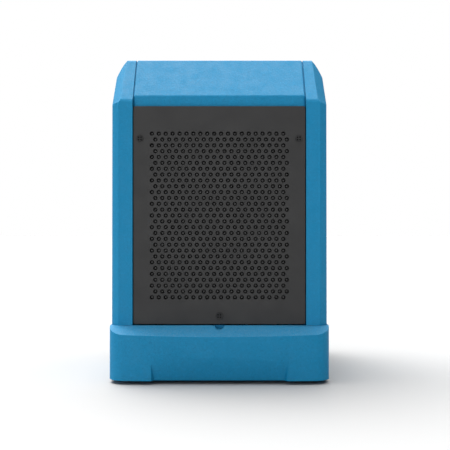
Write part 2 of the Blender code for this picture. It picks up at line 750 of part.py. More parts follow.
def make_fan_shroud():
    """A bulkhead with a ring that has a flared mouth."""
    front, sheet, tip = -0.030, 0.003, 0.003
    half = CHANNEL_HALF_WIDTH
    plate = box("plate", (-half, front, COIL_BOTTOM_Z), (half, front + sheet, CHANNEL_TOP_Z))
    mouth = [
        (FAN_RADIUS + 0.012, -0.029), (FAN_RADIUS + 0.006, -0.029), (FAN_RADIUS + tip, -0.026),
        (FAN_RADIUS + tip, 0.078), (FAN_RADIUS + 0.006, 0.078), (FAN_RADIUS + 0.006, -0.024),
    ]
    cut(plate, cylinder("hole", (0, -0.1, FAN_Z), Y_AXIS, 0.2, FAN_RADIUS + 0.0045, 36))
    join(plate, turned("ring", mouth, (0, 0, FAN_Z), Y_AXIS, 36))
    finish(plate, "fan_shroud", "dark_plastic")


def fan_blade(index):
    """A twisted, swept blade with a lens-shaped section."""
    stations, root, clearance = 5, HUB_RADIUS - 0.0015, 0.004
    section_shape = ((-1, 0), (0, 0.0012), (1, 0), (0, -0.0008))
    flattening = 0.68
    bm = bmesh.new()
    sections = []
    for step in range(stations):
        share = step / (stations - 1)
        radius = root + share * (FAN_RADIUS - clearance - HUB_RADIUS)
        pitch = math.radians(42 - 20 * share)
        chord = 0.026 + 0.018 * share
        sweep = math.radians(14) * share
        section = []
        for along_chord, across in section_shape:
            flat = along_chord * chord / 2
            offset = flat * math.cos(pitch) + across * math.sin(pitch)
            height = flat * math.sin(pitch) * flattening + across * math.cos(pitch)
            angle = sweep + offset / radius
            section.append(bm.verts.new((radius * math.sin(angle), height, radius * math.cos(angle))))
        sections.append(section)
    for inner, outer in zip(sections, sections[1:]):
        for corner in range(4):
            after = (corner + 1) % 4
            bm.faces.new((inner[corner], inner[after], outer[after], outer[corner]))
    bm.faces.new(sections[0])
    bm.faces.new(sections[-1])
    bmesh.ops.triangulate(bm, faces=bm.faces)
    turn = Matrix.Rotation(math.tau * index / FAN_BLADES, 4, "Y")
    bm.transform(Matrix.Translation((0, FAN_Y, FAN_Z)) @ turn)
    return from_bmesh("blade", bm)


def make_fan_rotor():
    front, back, wall = -0.018, 0.018, 0.003
    hub_profile = [
        (0, front), (HUB_RADIUS - 0.006, front), (HUB_RADIUS, front + 0.006), (HUB_RADIUS, back),
        (HUB_RADIUS - wall, back), (HUB_RADIUS - wall, front + 0.008), (0, front + 0.008),
    ]
    rotor = turned("rotor", hub_profile, (0, FAN_Y, FAN_Z), Y_AXIS, 28)
    for index in range(FAN_BLADES):
        join(rotor, fan_blade(index))
    finish(rotor, "fan_rotor", "dark_plastic", origin=(0, FAN_Y, FAN_Z))


def make_fan_motor():
    """The motor, and the ring with four arms that holds it in the shroud."""
    profile = [
        (0, 0.0), (0.028, 0.0), (0.030, 0.002), (0.030, 0.036),
        (0.045, 0.040), (0.045, 0.078), (0.040, 0.084), (0, 0.084),
    ]
    finish(turned("motor", profile, (0, FAN_Y - 0.0075, FAN_Z), Y_AXIS, 20), "fan_motor", "galvanised")
    ring_inner, ring_outer, ring_depth, ring_y = 0.0455, 0.0515, 0.012, 0.065
    section = [(ring_inner, 0), (ring_outer, 0), (ring_outer, ring_depth), (ring_inner, ring_depth)]
    ring = turned("ring", section, (0, ring_y, FAN_Z), Y_AXIS, 28)
    arm_start, arm_radius = 0.049, 0.0035
    for index in range(4):
        angle = math.radians(45 + 90 * index)
        outward = Vector((math.cos(angle), 0, math.sin(angle)))
        start = Vector((0, ring_y + 0.0025, FAN_Z)) + outward * arm_start
        join(ring, cylinder("arm", start, outward, 0.0655, arm_radius, 8))
    finish(ring, "motor_bracket", "steel")


def make_rear_panel():
    """A folded sheet with the outlet, the cord and drain holes, notched round the wheel houses."""
    half, sheet = PANEL_HALF_WIDTH, PANEL_SHEET
    front, back = REAR_PANEL_Y - PANEL_RETURN, REAR_PANEL_Y
    panel = box("panel", (-half, front, PANEL_BOTTOM_Z), (half, back, PANEL_TOP_Z))
    low = (-half + sheet, front - 0.01, PANEL_BOTTOM_Z + sheet)
    cut(panel, box("inside", low, (half - sheet, back - sheet, PANEL_TOP_Z - sheet)))
    holes = [(0, FAN_Z, DUCT_RADIUS - 0.004, 36)]
    holes += [(x, z, 0.0024, 10) for x, z in REAR_SCREWS]
    holes += [(x, PORT_Z, PORT_RADIUS + 0.0004, 20) for x in (CORD_X, DRAIN_X)]
    for x, z, radius, segments in holes:
        cut(panel, cylinder("hole", (x, 0.1, z), Y_AXIS, 0.2, radius, segments))
    clear = 0.002
    house_radius = WHEEL_HOUSE_RADIUS + WHEEL_HOUSE_WALL + clear
    house_inner = WHEEL_HOUSE_INNER_X - WHEEL_HOUSE_WALL - clear
    for side in (-1, 1):
        cut(panel, wheel_well(side, house_radius, house_inner, 0.2, 0.0))
    finish(panel, "rear_panel", "grille_charcoal")
    screw = [
        (0, 0.0022), (0.0025, 0.002), (0.004, 0.0008), (0.004, 0), (0.002, 0), (0.002, -0.007), (0, -0.007),
    ]
    for number, (x, z) in enumerate(REAR_SCREWS, 1):
        name = f"rear_panel_screw_{number}"
        finish(turned(name, screw, (x, back + GAP, z), Y_AXIS, 10), name, "steel")


def make_outlet():
    """The duct collar: a flange, a tube and a bead at its end."""
    start = REAR_PANEL_Y + GAP
    reach = COLLAR_END_Y - start
    outer, inner, flange, bead = DUCT_RADIUS, DUCT_RADIUS - 0.0035, 0.008, 0.0015
    profile = [
        (inner, 0), (outer + flange, 0), (outer + flange, 0.003), (outer, 0.003), (outer, reach - 0.004),
        (outer + bead, reach - 0.002), (outer + bead, reach), (inner, reach),
    ]
    finish(turned("collar", profile, (0, start, FAN_Z), Y_AXIS, 32), "outlet_collar", "dark_plastic")
    make_guard(start + 0.010)


def make_guard(y):
    """A flat guard: the rings and spokes left over between ring-shaped windows."""
    thickness, hub, rim = 0.0024, 0.018, DUCT_RADIUS - 0.0042
    disc = [(0, 0), (rim, 0), (rim, thickness), (0, thickness)]
    guard = turned("guard", disc, (0, y, FAN_Z), Y_AXIS, 36)
    pitch = (rim - hub) / GUARD_RINGS
    sector = 360 / GUARD_SECTORS
    for ring in range(GUARD_RINGS):
        inner = hub + ring * pitch
        outer = inner + pitch - GUARD_WIRE
        inner_trim, outer_trim = (math.degrees(GUARD_WIRE / 2 / radius) for radius in (inner, outer))
        for index in range(GUARD_SECTORS):
            start, end = sector * index, sector * (index + 1)
            outline = arc((0, FAN_Z), inner, start + inner_trim, end - inner_trim, 3)
            outline += arc((0, FAN_Z), outer, end - outer_trim, start + outer_trim, 3)
            cut(guard, prism("window", outline, "Y", y - 0.01, y + 0.01))
    finish(guard, "outlet_guard", "steel")


# ---------------------------------------------------------------- refrigeration and drain

def make_compressor():
    """A welded can on three legs, and the rubber ring it stands on."""
    profile = [
        (0, 0.0), (0.045, 0.0), (0.056, 0.006), (0.058, 0.012), (0.058, 0.070),
        (0.060, 0.071), (0.060, 0.075), (0.058, 0.076), (0.058, 0.122),
        (0.054, 0.134), (0.042, 0.144), (0.020, 0.149), (0, 0.150),
    ]
    body = turned("compressor", profile, (COMPRESSOR_X, COMPRESSOR_Y, COMPRESSOR_Z), Z_AXIS, 20)
    for index in range(3):
        angle = math.radians(90 + 120 * index)
        outward = Vector((math.cos(angle), math.sin(angle), 0))
        start = Vector((COMPRESSOR_X, COMPRESSOR_Y, COMPRESSOR_LEG_Z)) + outward * 0.030
        join(body, cylinder("leg", start, outward, 0.040, COMPRESSOR_LEG_RADIUS, 8))
    finish(body, "compressor", "compressor_black")
    bottom = PAN_TOP_Z + GAP
    height = COMPRESSOR_LEG_Z - COMPRESSOR_LEG_RADIUS - GAP - bottom
    ring = [(0.030, 0), (0.044, 0), (0.044, height), (0.030, height)]
    pad = turned("pad", ring, (COMPRESSOR_X, COMPRESSOR_Y, bottom), Z_AXIS, 24)
    finish(pad, "compressor_mount", "rubber")


def make_accumulator():
    """The accumulator, and the suction line from the evaporator header to it."""
    x, y, z, length = ACCUMULATOR_X, ACCUMULATOR_Y, ACCUMULATOR_Z, 0.100
    profile = [
        (0, 0), (0.010, 0.001), (0.020, 0.010), (0.020, length - 0.010), (0.010, length - 0.001), (0, length),
    ]
    finish(turned("accumulator", profile, (x, y, z), Z_AXIS, 20), "accumulator", "compressor_black")
    coil_y = EVAPORATOR_Y + COIL_DEPTH / 2
    suction = smooth_route([
        (x, y, z + length + 0.0014), (x, y, 0.170), (x + 0.040, y - 0.005, 0.177), (0.122, -0.014, 0.172),
        (PIPE_X, -0.034, 0.170), (PIPE_X, -0.095, 0.172), (PIPE_X, coil_y, 0.184), (PIPE_X, coil_y, 0.2055),
    ], 3)
    finish(pipe("suction_line", suction, 0.0038, 8), "suction_line", "copper")


def make_discharge_line():
    """From the top of the compressor to the side of the condenser."""
    x, y, z = COMPRESSOR_X - 0.020, COMPRESSOR_Y, COMPRESSOR_Z + 0.152
    coil_y, coil_z = CONDENSER_Y + COIL_DEPTH / 2, 0.222
    discharge = smooth_route([
        (x, y, z), (x, y, z + 0.010), (x - 0.020, y - 0.020, z + 0.017), (-0.122, -0.008, 0.185),
        (-PIPE_X, -0.030, 0.170), (-PIPE_X, -0.060, 0.172), (-PIPE_X, coil_y, 0.190),
        (-PIPE_X, coil_y, coil_z - 0.008), (-0.1260, coil_y, coil_z), (-0.1192, coil_y, coil_z),
    ], 3)
    finish(pipe("discharge_line", discharge, 0.003, 8), "discharge_line", "copper")


def make_pump():
    """The reservoir, the float that hangs in it, and the hose that feeds it from the drip tray."""
    low, high, wall = Vector(TANK_LOW), Vector(TANK_HIGH), 0.0025
    tank = box("tank", low, high)
    cut(tank, box("inside", low + Vector((wall,) * 3), high + Vector((-wall, -wall, 0.02))))
    finish(tank, "pump_reservoir", "light_plastic")
    pivot = Vector(FLOAT_PIVOT)
    arm = cylinder("arm", pivot - Vector((0, 0.004, 0)), Y_AXIS, 0.008, 0.0035, 12)
    lever_low = pivot + Vector((0.001, -0.002, -0.0015))
    join(arm, box("lever", lever_low, pivot + Vector((0.040, 0.002, 0.0015))))
    ball = [(0, -0.009), (0.008, -0.0075), (0.012, -0.003), (0.012, 0.003), (0.008, 0.0075), (0, 0.009)]
    join(arm, turned("ball", ball, pivot + Vector((0.042, 0, 0)), Z_AXIS, 16))
    finish(arm, "float_arm", "dark_plastic", origin=pivot)
    hose = smooth_route([
        (SPOUT_X, SPOUT_Y, TRAY_BOTTOM_Z - 0.015), (SPOUT_X, SPOUT_Y, 0.125), (SPOUT_X, -0.035, 0.104),
        (SPOUT_X, 0.020, 0.100), (SPOUT_X, 0.043, 0.092), (SPOUT_X, 0.045, 0.070),
    ], 3)
    finish(pipe("tray_hose", hose, 0.0055, 8), "tray_hose", "rubber")


def make_ports():
    """The power cord's strain relief and the drain hose fitting, each through the rear panel."""
    neck, flange = PORT_RADIUS, 0.0130
    gland = [
        (0.0040, -0.010), (neck, -0.010), (neck, GAP), (flange, GAP), (flange, 0.005), (0.0100, 0.007),
        (0.0085, 0.016), (0.0040, 0.016),
    ]
    place = (CORD_X, REAR_PANEL_Y, PORT_Z)
    finish(turned("gland", gland, place, Y_AXIS, 20), "cord_gland", "dark_plastic")
    barbs = [
        (0.0065, 0.004), (0.0065, 0.010), (0.0078, 0.012), (0.0065, 0.016), (0.0078, 0.018), (0.0062, 0.022),
    ]
    fitting = [(0.0040, -0.012), (neck, -0.012), (neck, GAP), (flange, GAP), (flange, 0.004), *barbs]
    fitting.append((0.0040, 0.022))
    place = (DRAIN_X, REAR_PANEL_Y, PORT_Z)
    finish(turned("fitting", fitting, place, Y_AXIS, 20), "drain_fitting", "dark_plastic")


def make_electrics():
    """The sheet tray under the cover, with the control board and the compressor's run capacitor."""
    low, high, wall = Vector(BOX_LOW), Vector(BOX_HIGH), 0.0015
    tray = box("tray", low, high)
    cut(tray, box("inside", low + Vector((wall,) * 3), high + Vector((-wall, -wall, 0.02))))
    finish(tray, "electrical_tray", "galvanised")
    board_top = BOARD_Z + 0.0016
    board = box("board", (-0.110, 0.020, BOARD_Z), (0.020, 0.095, board_top))
    for x, y, wide, deep, tall in BOARD_RELAYS:
        relay_low = (x - wide / 2, y - deep / 2, BOARD_Z + 0.001)
        join(board, box("relay", relay_low, (x + wide / 2, y + deep / 2, board_top + tall)))
    finish(board, "circuit_board", "board_green")
    can = [(0, 0), (0.0155, 0), (0.017, 0.0015), (0.017, 0.066), (0.0155, 0.068), (0, 0.068)]
    finish(turned("can", can, CAPACITOR_START, X_AXIS, 24), "run_capacitor", "aluminium")


# ---------------------------------------------------------------- controls

def make_controls():
    """The sunk control plate with its display, three buttons and a power rocker."""
    low_x, low_y, _ = CONTROL_LOW
    high_x, high_y, _ = CONTROL_HIGH
    top, edge = CONTROL_TOP_Z, 0.0008
    plate = box("plate", (low_x + edge, low_y + edge, top - 0.005), (high_x - edge, high_y - edge, top))
    cut(plate, box("display", (-0.0305, -0.0445, top - 0.0015), (0.0305, -0.0175, top + 0.01)))
    for x in BUTTONS.values():
        cut(plate, cylinder("well", (x, BUTTON_Y, top - 0.02), Z_AXIS, 0.04, BUTTON_RADIUS + 0.0005, 24))
    switch_low = (SWITCH_X - 0.0075, SWITCH_Y - 0.0125, top - 0.02)
    cut(plate, box("switch", switch_low, (SWITCH_X + 0.0075, SWITCH_Y + 0.0125, top + 0.02)))
    finish(plate, "control_plate", "dark_plastic")
    window = box("window", (-0.0300, -0.0440, top - 0.0012), (0.0300, -0.0180, top + 0.0003))
    finish(bevelled(window, 0.0004, 1), "display_window", "display_glass")
    cap = [
        (0, -0.0060), (BUTTON_RADIUS, -0.0060), (BUTTON_RADIUS, 0.0015), (BUTTON_RADIUS - 0.001, 0.0022),
        (0, 0.0018),
    ]
    for name, x in BUTTONS.items():
        centre = (x, BUTTON_Y, top)
        finish(turned(name, cap, centre, Z_AXIS, 24), name, "light_plastic", origin=centre)
    pivot = Vector((SWITCH_X, SWITCH_Y, top - 0.0040))
    rocker = [
        (-0.0115, 0.0062), (0, 0.0045), (0.0115, 0.0062), (0.0112, -0.0015), (0.0040, -0.0050),
        (-0.0040, -0.0050), (-0.0112, -0.0015),
    ]
    outline = [(pivot.y + y, pivot.z + z) for y, z in rocker]
    switch = prism("rocker", outline, "X", pivot.x - 0.0068, pivot.x + 0.0068)
    finish(switch, "power_switch", "dark_plastic", origin=pivot)


# ---------------------------------------------------------------- wheels, feet and handle

def make_wheels():
    axle = cylinder(
        "axle", (-AXLE_HALF_LENGTH, WHEEL_Y, WHEEL_RADIUS), X_AXIS, 2 * AXLE_HALF_LENGTH, AXLE_RADIUS, 24,
    )
    finish(axle, "axle", "steel")
    for side, word in ((-1, "left"), (1, "right")):
        make_wheel(side, word)


def make_wheel(side, word):
    """One side's wheel, tyre, axle cap and front foot."""
    half = WHEEL_WIDTH / 2
    centre = (side * WHEEL_CENTRE_X, WHEEL_Y, WHEEL_RADIUS)
    bore, hub, web = AXLE_RADIUS + 0.0001, 0.014, 0.008
    seat = RIM_RADIUS - 0.005
    rim = [
        (bore, -half + 0.001), (hub, -half + 0.001), (hub + 0.004, -half + web),
        (seat - 0.004, -half + web),
        (seat, -half + 0.002), (RIM_RADIUS, -half + 0.002), (RIM_RADIUS, half - 0.002), (seat, half - 0.002),
        (seat - 0.004, half - web), (hub + 0.004, half - web), (hub, half - 0.001), (bore, half - 0.001),
    ]
    finish(turned("wheel", rim, centre, X_AXIS, 24), f"wheel_{word}", "light_plastic", origin=centre)
    inner = RIM_RADIUS + GAP
    tread = [
        (inner, -half + 0.002), (0.060, -half), (0.070, -half + 0.002), (WHEEL_RADIUS, -half + 0.008),
        (WHEEL_RADIUS, half - 0.008), (0.070, half - 0.002), (0.060, half), (inner, half - 0.002),
    ]
    finish(turned("tyre", tread, centre, X_AXIS, 32), f"tyre_{word}", "rubber", origin=centre)
    cap = [(0, 0), (0.009, 0), (0.009, 0.002), (0.006, 0.004), (0, 0.0045)]
    start = (side * (AXLE_HALF_LENGTH + GAP), WHEEL_Y, WHEEL_RADIUS)
    finish(turned("cap", cap, start, X_AXIS * side, 20), f"axle_cap_{word}", "dark_plastic")
    top = BASE_BOTTOM_Z - GAP
    pad = [(0, 0), (FOOT_RADIUS - 0.002, 0), (FOOT_RADIUS, 0.002), (FOOT_RADIUS, top), (0, top)]
    finish(turned("foot", pad, (side * FOOT_X, FOOT_Y, 0), Z_AXIS, 24), f"foot_{word}", "rubber")


def make_handle():
    """A bent tube with a rubber grip, sliding in two guides on the rear panel."""
    left_bend = arc((-HANDLE_TUBE_X + HANDLE_BEND, GRIP_Z - HANDLE_BEND), HANDLE_BEND, 180, 90, 5)
    right_bend = arc((HANDLE_TUBE_X - HANDLE_BEND, GRIP_Z - HANDLE_BEND), HANDLE_BEND, 90, 0, 5)
    outline = [(-HANDLE_TUBE_X, HANDLE_BOTTOM_Z), *left_bend, *right_bend, (HANDLE_TUBE_X, HANDLE_BOTTOM_Z)]
    loop = pipe("handle", [(x, HANDLE_Y, z) for x, z in outline], HANDLE_TUBE_RADIUS, 12)
    finish(loop, "handle_frame", "steel", origin=(0, HANDLE_Y, GRIP_Z))
    inner, outer, length = HANDLE_TUBE_RADIUS + 0.0006, HANDLE_TUBE_RADIUS + GRIP_WALL, GRIP_LENGTH
    sleeve = [
        (inner, 0), (outer - 0.001, 0), (outer, 0.002), (outer, length - 0.002), (outer - 0.001, length),
        (inner, length),
    ]
    grip = turned("grip", sleeve, (-length / 2, HANDLE_Y, GRIP_Z), X_AXIS, 24)
    finish(grip, "handle_grip", "rubber", origin=(0, HANDLE_Y, GRIP_Z))
    for side, word in ((-1, "left"), (1, "right")):
        x, half, front = side * HANDLE_TUBE_X, GUIDE_HALF_WIDTH, REAR_PANEL_Y + GAP
        guide = box("guide", (x - half, front, GUIDE_BOTTOM_Z), (x + half, HANDLE_Y + half, GUIDE_TOP_Z))
        bevelled(guide, 0.003, 2)
        cut(guide, cylinder("bore", (x, HANDLE_Y, 0.2), Z_AXIS, 0.4, HANDLE_TUBE_RADIUS + 0.0006, 24))
        finish(guide, f"handle_guide_{word}", "dark_plastic")


# ---------------------------------------------------------------- build

def main():
    clear_scene()
    make_base()
    make_side_shell(-1, "side_shell_left")
    make_side_shell(1, "side_shell_right")
    make_top_cover()
    make_grille()
    for fastener in FASTENERS:
        make_fastener(*fastener)
    make_filter()
    make_filter_channel()
    make_coil("evaporator_coil", EVAPORATOR_Y)
    make_coil("condenser_coil", CONDENSER_Y)
    make_header("evaporator_header", EVAPORATOR_Y)
    make_coil_bracket(-1, "coil_bracket_left")
    make_coil_bracket(1, "coil_bracket_right")
    make_drip_tray()
    make_fan_shroud()
    make_fan_rotor()
    make_fan_motor()
    make_rear_panel()
    make_outlet()
    make_compressor()
    make_accumulator()
    make_discharge_line()
    make_pump()
    make_ports()
    make_electrics()
    make_controls()
    make_wheels()
    make_handle()


main()
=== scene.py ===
"""Looks for the commercial dehumidifier: materials, fine pieces, light and camera."""
import json
import math

import bmesh
import bpy
from mathutils import Matrix, Vector


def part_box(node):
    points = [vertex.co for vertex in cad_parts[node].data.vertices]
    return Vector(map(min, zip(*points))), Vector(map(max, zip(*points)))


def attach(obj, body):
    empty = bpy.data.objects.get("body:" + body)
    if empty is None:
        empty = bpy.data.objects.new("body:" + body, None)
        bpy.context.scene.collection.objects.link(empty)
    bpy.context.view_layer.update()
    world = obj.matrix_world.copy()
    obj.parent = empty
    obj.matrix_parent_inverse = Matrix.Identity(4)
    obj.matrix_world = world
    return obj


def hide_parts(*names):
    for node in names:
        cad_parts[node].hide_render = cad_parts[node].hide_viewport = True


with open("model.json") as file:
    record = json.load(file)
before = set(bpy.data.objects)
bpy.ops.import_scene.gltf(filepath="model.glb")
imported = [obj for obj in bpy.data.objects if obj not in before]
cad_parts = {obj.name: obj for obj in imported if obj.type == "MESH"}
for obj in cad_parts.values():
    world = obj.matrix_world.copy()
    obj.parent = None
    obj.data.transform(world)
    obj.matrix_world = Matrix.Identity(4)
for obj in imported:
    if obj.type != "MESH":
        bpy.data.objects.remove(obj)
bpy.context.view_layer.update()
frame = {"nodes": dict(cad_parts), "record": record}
NODES = frame["nodes"]

X_AXIS, Y_AXIS, Z_AXIS = Vector((1, 0, 0)), Vector((0, 1, 0)), Vector((0, 0, 1))


# ---------------------------------------------------------------- material helpers

class Surface:
    """A Principled material whose colour, roughness and bump are driven by procedural textures."""

    def __init__(self, name, colour, roughness, metallic=0.0):
        self.made = bpy.data.materials.new(name)
        self.made.use_nodes = True
        self.tree = self.made.node_tree
        self.shader = self.tree.nodes["Principled BSDF"]
        self.shader.inputs["Metallic"].default_value = metallic
        self.colour = (*colour, 1.0)
        self.shader.inputs["Base Color"].default_value = self.colour
        self.roughness = roughness
        self.shader.inputs["Roughness"].default_value = roughness
        self.coords = self.node("ShaderNodeTexCoord").outputs["Object"]
        self.colour_out = None
        self.normal_out = None

    def node(self, kind, **settings):
        made = self.tree.nodes.new(kind)
        for key, value in settings.items():
            setattr(made, key, value)
        return made

    def link(self, source, target):
        self.tree.links.new(source, target)

    def noise(self, scale, detail=3.0, roughness=0.5, stretch=(1, 1, 1)):
        """A noise field with this many features to the metre along each axis."""
        mapping = self.node("ShaderNodeMapping")
        mapping.inputs["Scale"].default_value = stretch
        self.link(self.coords, mapping.inputs["Vector"])
        field = self.node("ShaderNodeTexNoise")
        field.inputs["Scale"].default_value = scale
        field.inputs["Detail"].default_value = detail
        field.inputs["Roughness"].default_value = roughness
        self.link(mapping.outputs["Vector"], field.inputs["Vector"])
        return field.outputs["Fac"]

    def cells(self, scale):
        field = self.node("ShaderNodeTexVoronoi")
        field.inputs["Scale"].default_value = scale
        self.link(self.coords, field.inputs["Vector"])
        return field.outputs["Distance"]

    def between(self, field, low, high, bottom, top):
        """The field stretched from low..high onto bottom..top."""
        made = self.node("ShaderNodeMapRange")
        made.inputs["From Min"].default_value = low
        made.inputs["From Max"].default_value = high
        made.inputs["To Min"].default_value = bottom
        made.inputs["To Max"].default_value = top
        self.link(field, made.inputs["Value"])
        return made.outputs["Result"]

    def tint(self, field, colour, low, high, most=1.0):
        """Lays a colour over the last one where the field runs from low to high."""
        mix = self.node("ShaderNodeMix", data_type="RGBA")
        self.link(self.between(field, low, high, 0.0, most), mix.inputs["Factor"])
        if self.colour_out is None:
            mix.inputs["A"].default_value = self.colour
        else:
            self.link(self.colour_out, mix.inputs["A"])
        mix.inputs["B"].default_value = (*colour, 1.0)
        self.colour_out = mix.outputs["Result"]
        self.link(self.colour_out, self.shader.inputs["Base Color"])
        return self

    def vary_roughness(self, field, spread, low=0.3, high=0.7):
        varied = self.between(field, low, high, self.roughness - spread, self.roughness + spread)
        self.link(varied, self.shader.inputs["Roughness"])
        return self

    def bump(self, field, depth, strength=1.0):
        """Raises the surface by a depth in metres where the field is high."""
        made = self.node("ShaderNodeBump")
        made.inputs["Distance"].default_value = depth
        made.inputs["Strength"].default_value = strength
        self.link(field, made.inputs["Height"])
        if self.normal_out is not None:
            self.link(self.normal_out, made.inputs["Normal"])
        self.normal_out = made.outputs["Normal"]
        self.link(self.normal_out, self.shader.inputs["Normal"])
        return self

    def facing_up(self, low, high):
        """How far the surface faces upwards, from a slope to level."""
        facing = self.node("ShaderNodeSeparateXYZ")
        self.link(self.node("ShaderNodeTexCoord").outputs["Normal"], facing.inputs["Vector"])
        return self.between(facing.outputs["Z"], low, high, 0.0, 1.0)

    def times(self, first, second):
        made = self.node("ShaderNodeMath", operation="MULTIPLY")
        self.link(first, made.inputs[0])
        self.link(second, made.inputs[1])
        return made.outputs["Value"]

    def set(self, socket, value):
        self.shader.inputs[socket].default_value = value
        return self


def toned(colour, factor):
    return tuple(min(1.0, part * factor) for part in colour)


# ---------------------------------------------------------------- materials

CASING_BLUE = (0.002, 0.213, 0.420)
CHARCOAL = (0.0285, 0.0285, 0.0290)


def casing_material():
    """Blue rotomoulded polyethylene: soft mottling, a pebbled grain, pale scuffs and a painted
    sheen of pale speckle on faces that look upwards.
    """
    made = Surface("casing_blue", CASING_BLUE, 0.62)
    made.tint(made.noise(210, 4, 0.7), toned(CASING_BLUE, 1.25), 0.50, 0.70, 0.60)
    made.tint(made.noise(300, 4, 0.7), toned(CASING_BLUE, 0.72), 0.52, 0.70, 0.65)
    made.tint(made.noise(1100, 2), toned(CASING_BLUE, 1.35), 0.55, 0.75, 0.40)
    made.tint(made.noise(9, 5), toned(CASING_BLUE, 1.08), 0.40, 0.70, 0.20)
    made.tint(made.noise(380, 5, 0.75), (0.05, 0.29, 0.52), 0.60, 0.74, 0.30)
    # Painted sheen: pale grey-blue speckle laid only on faces that look upwards, standing in for
    # the whitish reflection they catch.
    grain = made.between(made.noise(480, 5, 0.8), 0.42, 0.66, 0.0, 1.0)
    made.tint(made.times(grain, made.facing_up(0.45, 0.95)), (0.16, 0.29, 0.42), 0.0, 1.0, 0.55)
    scuffs = made.noise(22, 8, 0.75, (1, 1, 6))
    made.tint(scuffs, (0.10, 0.36, 0.60), 0.70, 0.80, 0.12)
    made.vary_roughness(made.noise(60, 6), 0.08)
    made.bump(made.noise(210, 4, 0.7), 0.00080, 0.55)
    made.bump(made.noise(700, 3), 0.00030, 0.55)
    made.bump(made.cells(420), 0.00012, 0.35)
    return made.set("Specular IOR Level", 0.30).made


def powder_coat_material():
    """Matt dark powder coat on sheet metal: fine orange peel, faint dust and dull patches."""
    made = Surface("grille_charcoal", CHARCOAL, 0.55)
    made.tint(made.noise(1500, 2), toned(CHARCOAL, 1.5), 0.5, 0.8, 0.5)
    made.tint(made.noise(12, 6, 0.6), toned(CHARCOAL, 1.25), 0.45, 0.75, 0.4)
    made.vary_roughness(made.noise(30, 5), 0.08)
    made.bump(made.noise(1100, 2), 0.00010, 0.4)
    return made.set("Specular IOR Level", 0.35).made


def moulded_material(name, colour, roughness=0.5):
    """Injection-moulded plastic with a fine spark grain."""
    made = Surface(name, colour, roughness)
    made.tint(made.noise(14, 5), toned(colour, 1.3), 0.4, 0.75, 0.35)
    made.tint(made.noise(60, 8, 0.8), toned(colour, 1.7), 0.66, 0.80, 0.25)
    made.vary_roughness(made.noise(50, 5), 0.08)
    made.bump(made.noise(1300, 2), 0.00008, 0.5)
    return made.made


def fastener_material(front_y):
    """The panel's coating on a fastener head, with painted shade, nearly black, in the pockets of
    its cross recess.
    """
    made = Surface("fastener_head", toned(CHARCOAL, 1.45), 0.75)
    spot = made.node("ShaderNodeSeparateXYZ")
    made.link(made.coords, spot.inputs["Vector"])
    made.tint(made.noise(1500, 2), toned(CHARCOAL, 1.4), 0.5, 0.8, 0.5)
    # Painted shade: nearly black on surfaces that lie deeper than the head's front, in the pockets
    # of the cross recess.
    made.tint(spot.outputs["Y"], (0.001, 0.001, 0.001), front_y + 0.0006, front_y + 0.0010)
    made.vary_roughness(made.noise(90, 4), 0.08)
    made.bump(made.noise(1300, 2), 0.00008, 0.4)
    return made.set("Specular IOR Level", 0.05).made


def rubber_material(name, colour=(0.016, 0.016, 0.017)):
    made = Surface(name, colour, 0.78)
    made.tint(made.noise(35, 6, 0.7), (0.055, 0.052, 0.048), 0.50, 0.78, 0.5)
    made.tint(made.noise(220, 3), toned(colour, 1.6), 0.55, 0.8, 0.4)
    made.vary_roughness(made.noise(60, 5), 0.10)
    made.bump(made.noise(900, 3), 0.00012, 0.5)
    return made.made


def aluminium_material():
    """Rolled aluminium with fine upright lines and dull patches."""
    colour = (0.72, 0.73, 0.74)
    made = Surface("aluminium", colour, 0.36, 1.0)
    lines = made.noise(700, 3, 0.5, (1, 1, 0.1))
    made.tint(lines, toned(colour, 0.72), 0.45, 0.7, 0.5)
    made.tint(made.noise(25, 6, 0.7), toned(colour, 0.6), 0.55, 0.8, 0.35)
    made.vary_roughness(made.noise(80, 5), 0.10)
    made.bump(lines, 0.00004, 0.5)
    return made.made


def plated_material():
    """Bright zinc or chrome plate: an even shine with faint haze and fine scratches."""
    colour = (0.56, 0.56, 0.57)
    made = Surface("steel", colour, 0.24, 1.0)
    made.tint(made.noise(18, 5, 0.6), toned(colour, 0.88), 0.45, 0.75, 0.5)
    scratches = made.noise(900, 3, 0.5, (1, 1, 0.05))
    made.tint(scratches, toned(colour, 0.80), 0.60, 0.80, 0.3)
    made.vary_roughness(made.noise(30, 5), 0.05)
    made.bump(scratches, 0.00001, 0.3)
    return made.made


def galvanised_material():
    """Zinc coating with its spangle."""
    colour = (0.46, 0.48, 0.50)
    made = Surface("galvanised", colour, 0.42, 1.0)
    made.tint(made.cells(90), toned(colour, 0.65), 0.1, 0.7, 0.6)
    made.tint(made.noise(300, 3), toned(colour, 1.25), 0.5, 0.75, 0.4)
    made.vary_roughness(made.cells(90), 0.12, 0.1, 0.7)
    made.bump(made.noise(700, 2), 0.00003, 0.4)
    return made.made


def copper_material():
    colour = (0.66, 0.30, 0.17)
    made = Surface("copper", colour, 0.30, 1.0)
    made.tint(made.noise(60, 6, 0.7), (0.22, 0.10, 0.06), 0.50, 0.75, 0.65)
    made.tint(made.noise(140, 4), (0.80, 0.45, 0.30), 0.60, 0.80, 0.4)
    made.vary_roughness(made.noise(90, 5), 0.12)
    made.bump(made.noise(600, 3), 0.00005, 0.4)
    return made.made


def enamel_material():
    """Black enamel on the compressor and its accumulator, with dust and runs."""
    colour = (0.020, 0.020, 0.022)
    made = Surface("compressor_black", colour, 0.30)
    made.tint(made.noise(40, 7, 0.7), (0.09, 0.085, 0.08), 0.55, 0.8, 0.4)
    made.vary_roughness(made.noise(40, 5), 0.12)
    made.bump(made.noise(180, 3), 0.00015, 0.4)
    return made.set("Coat Weight", 0.3).made


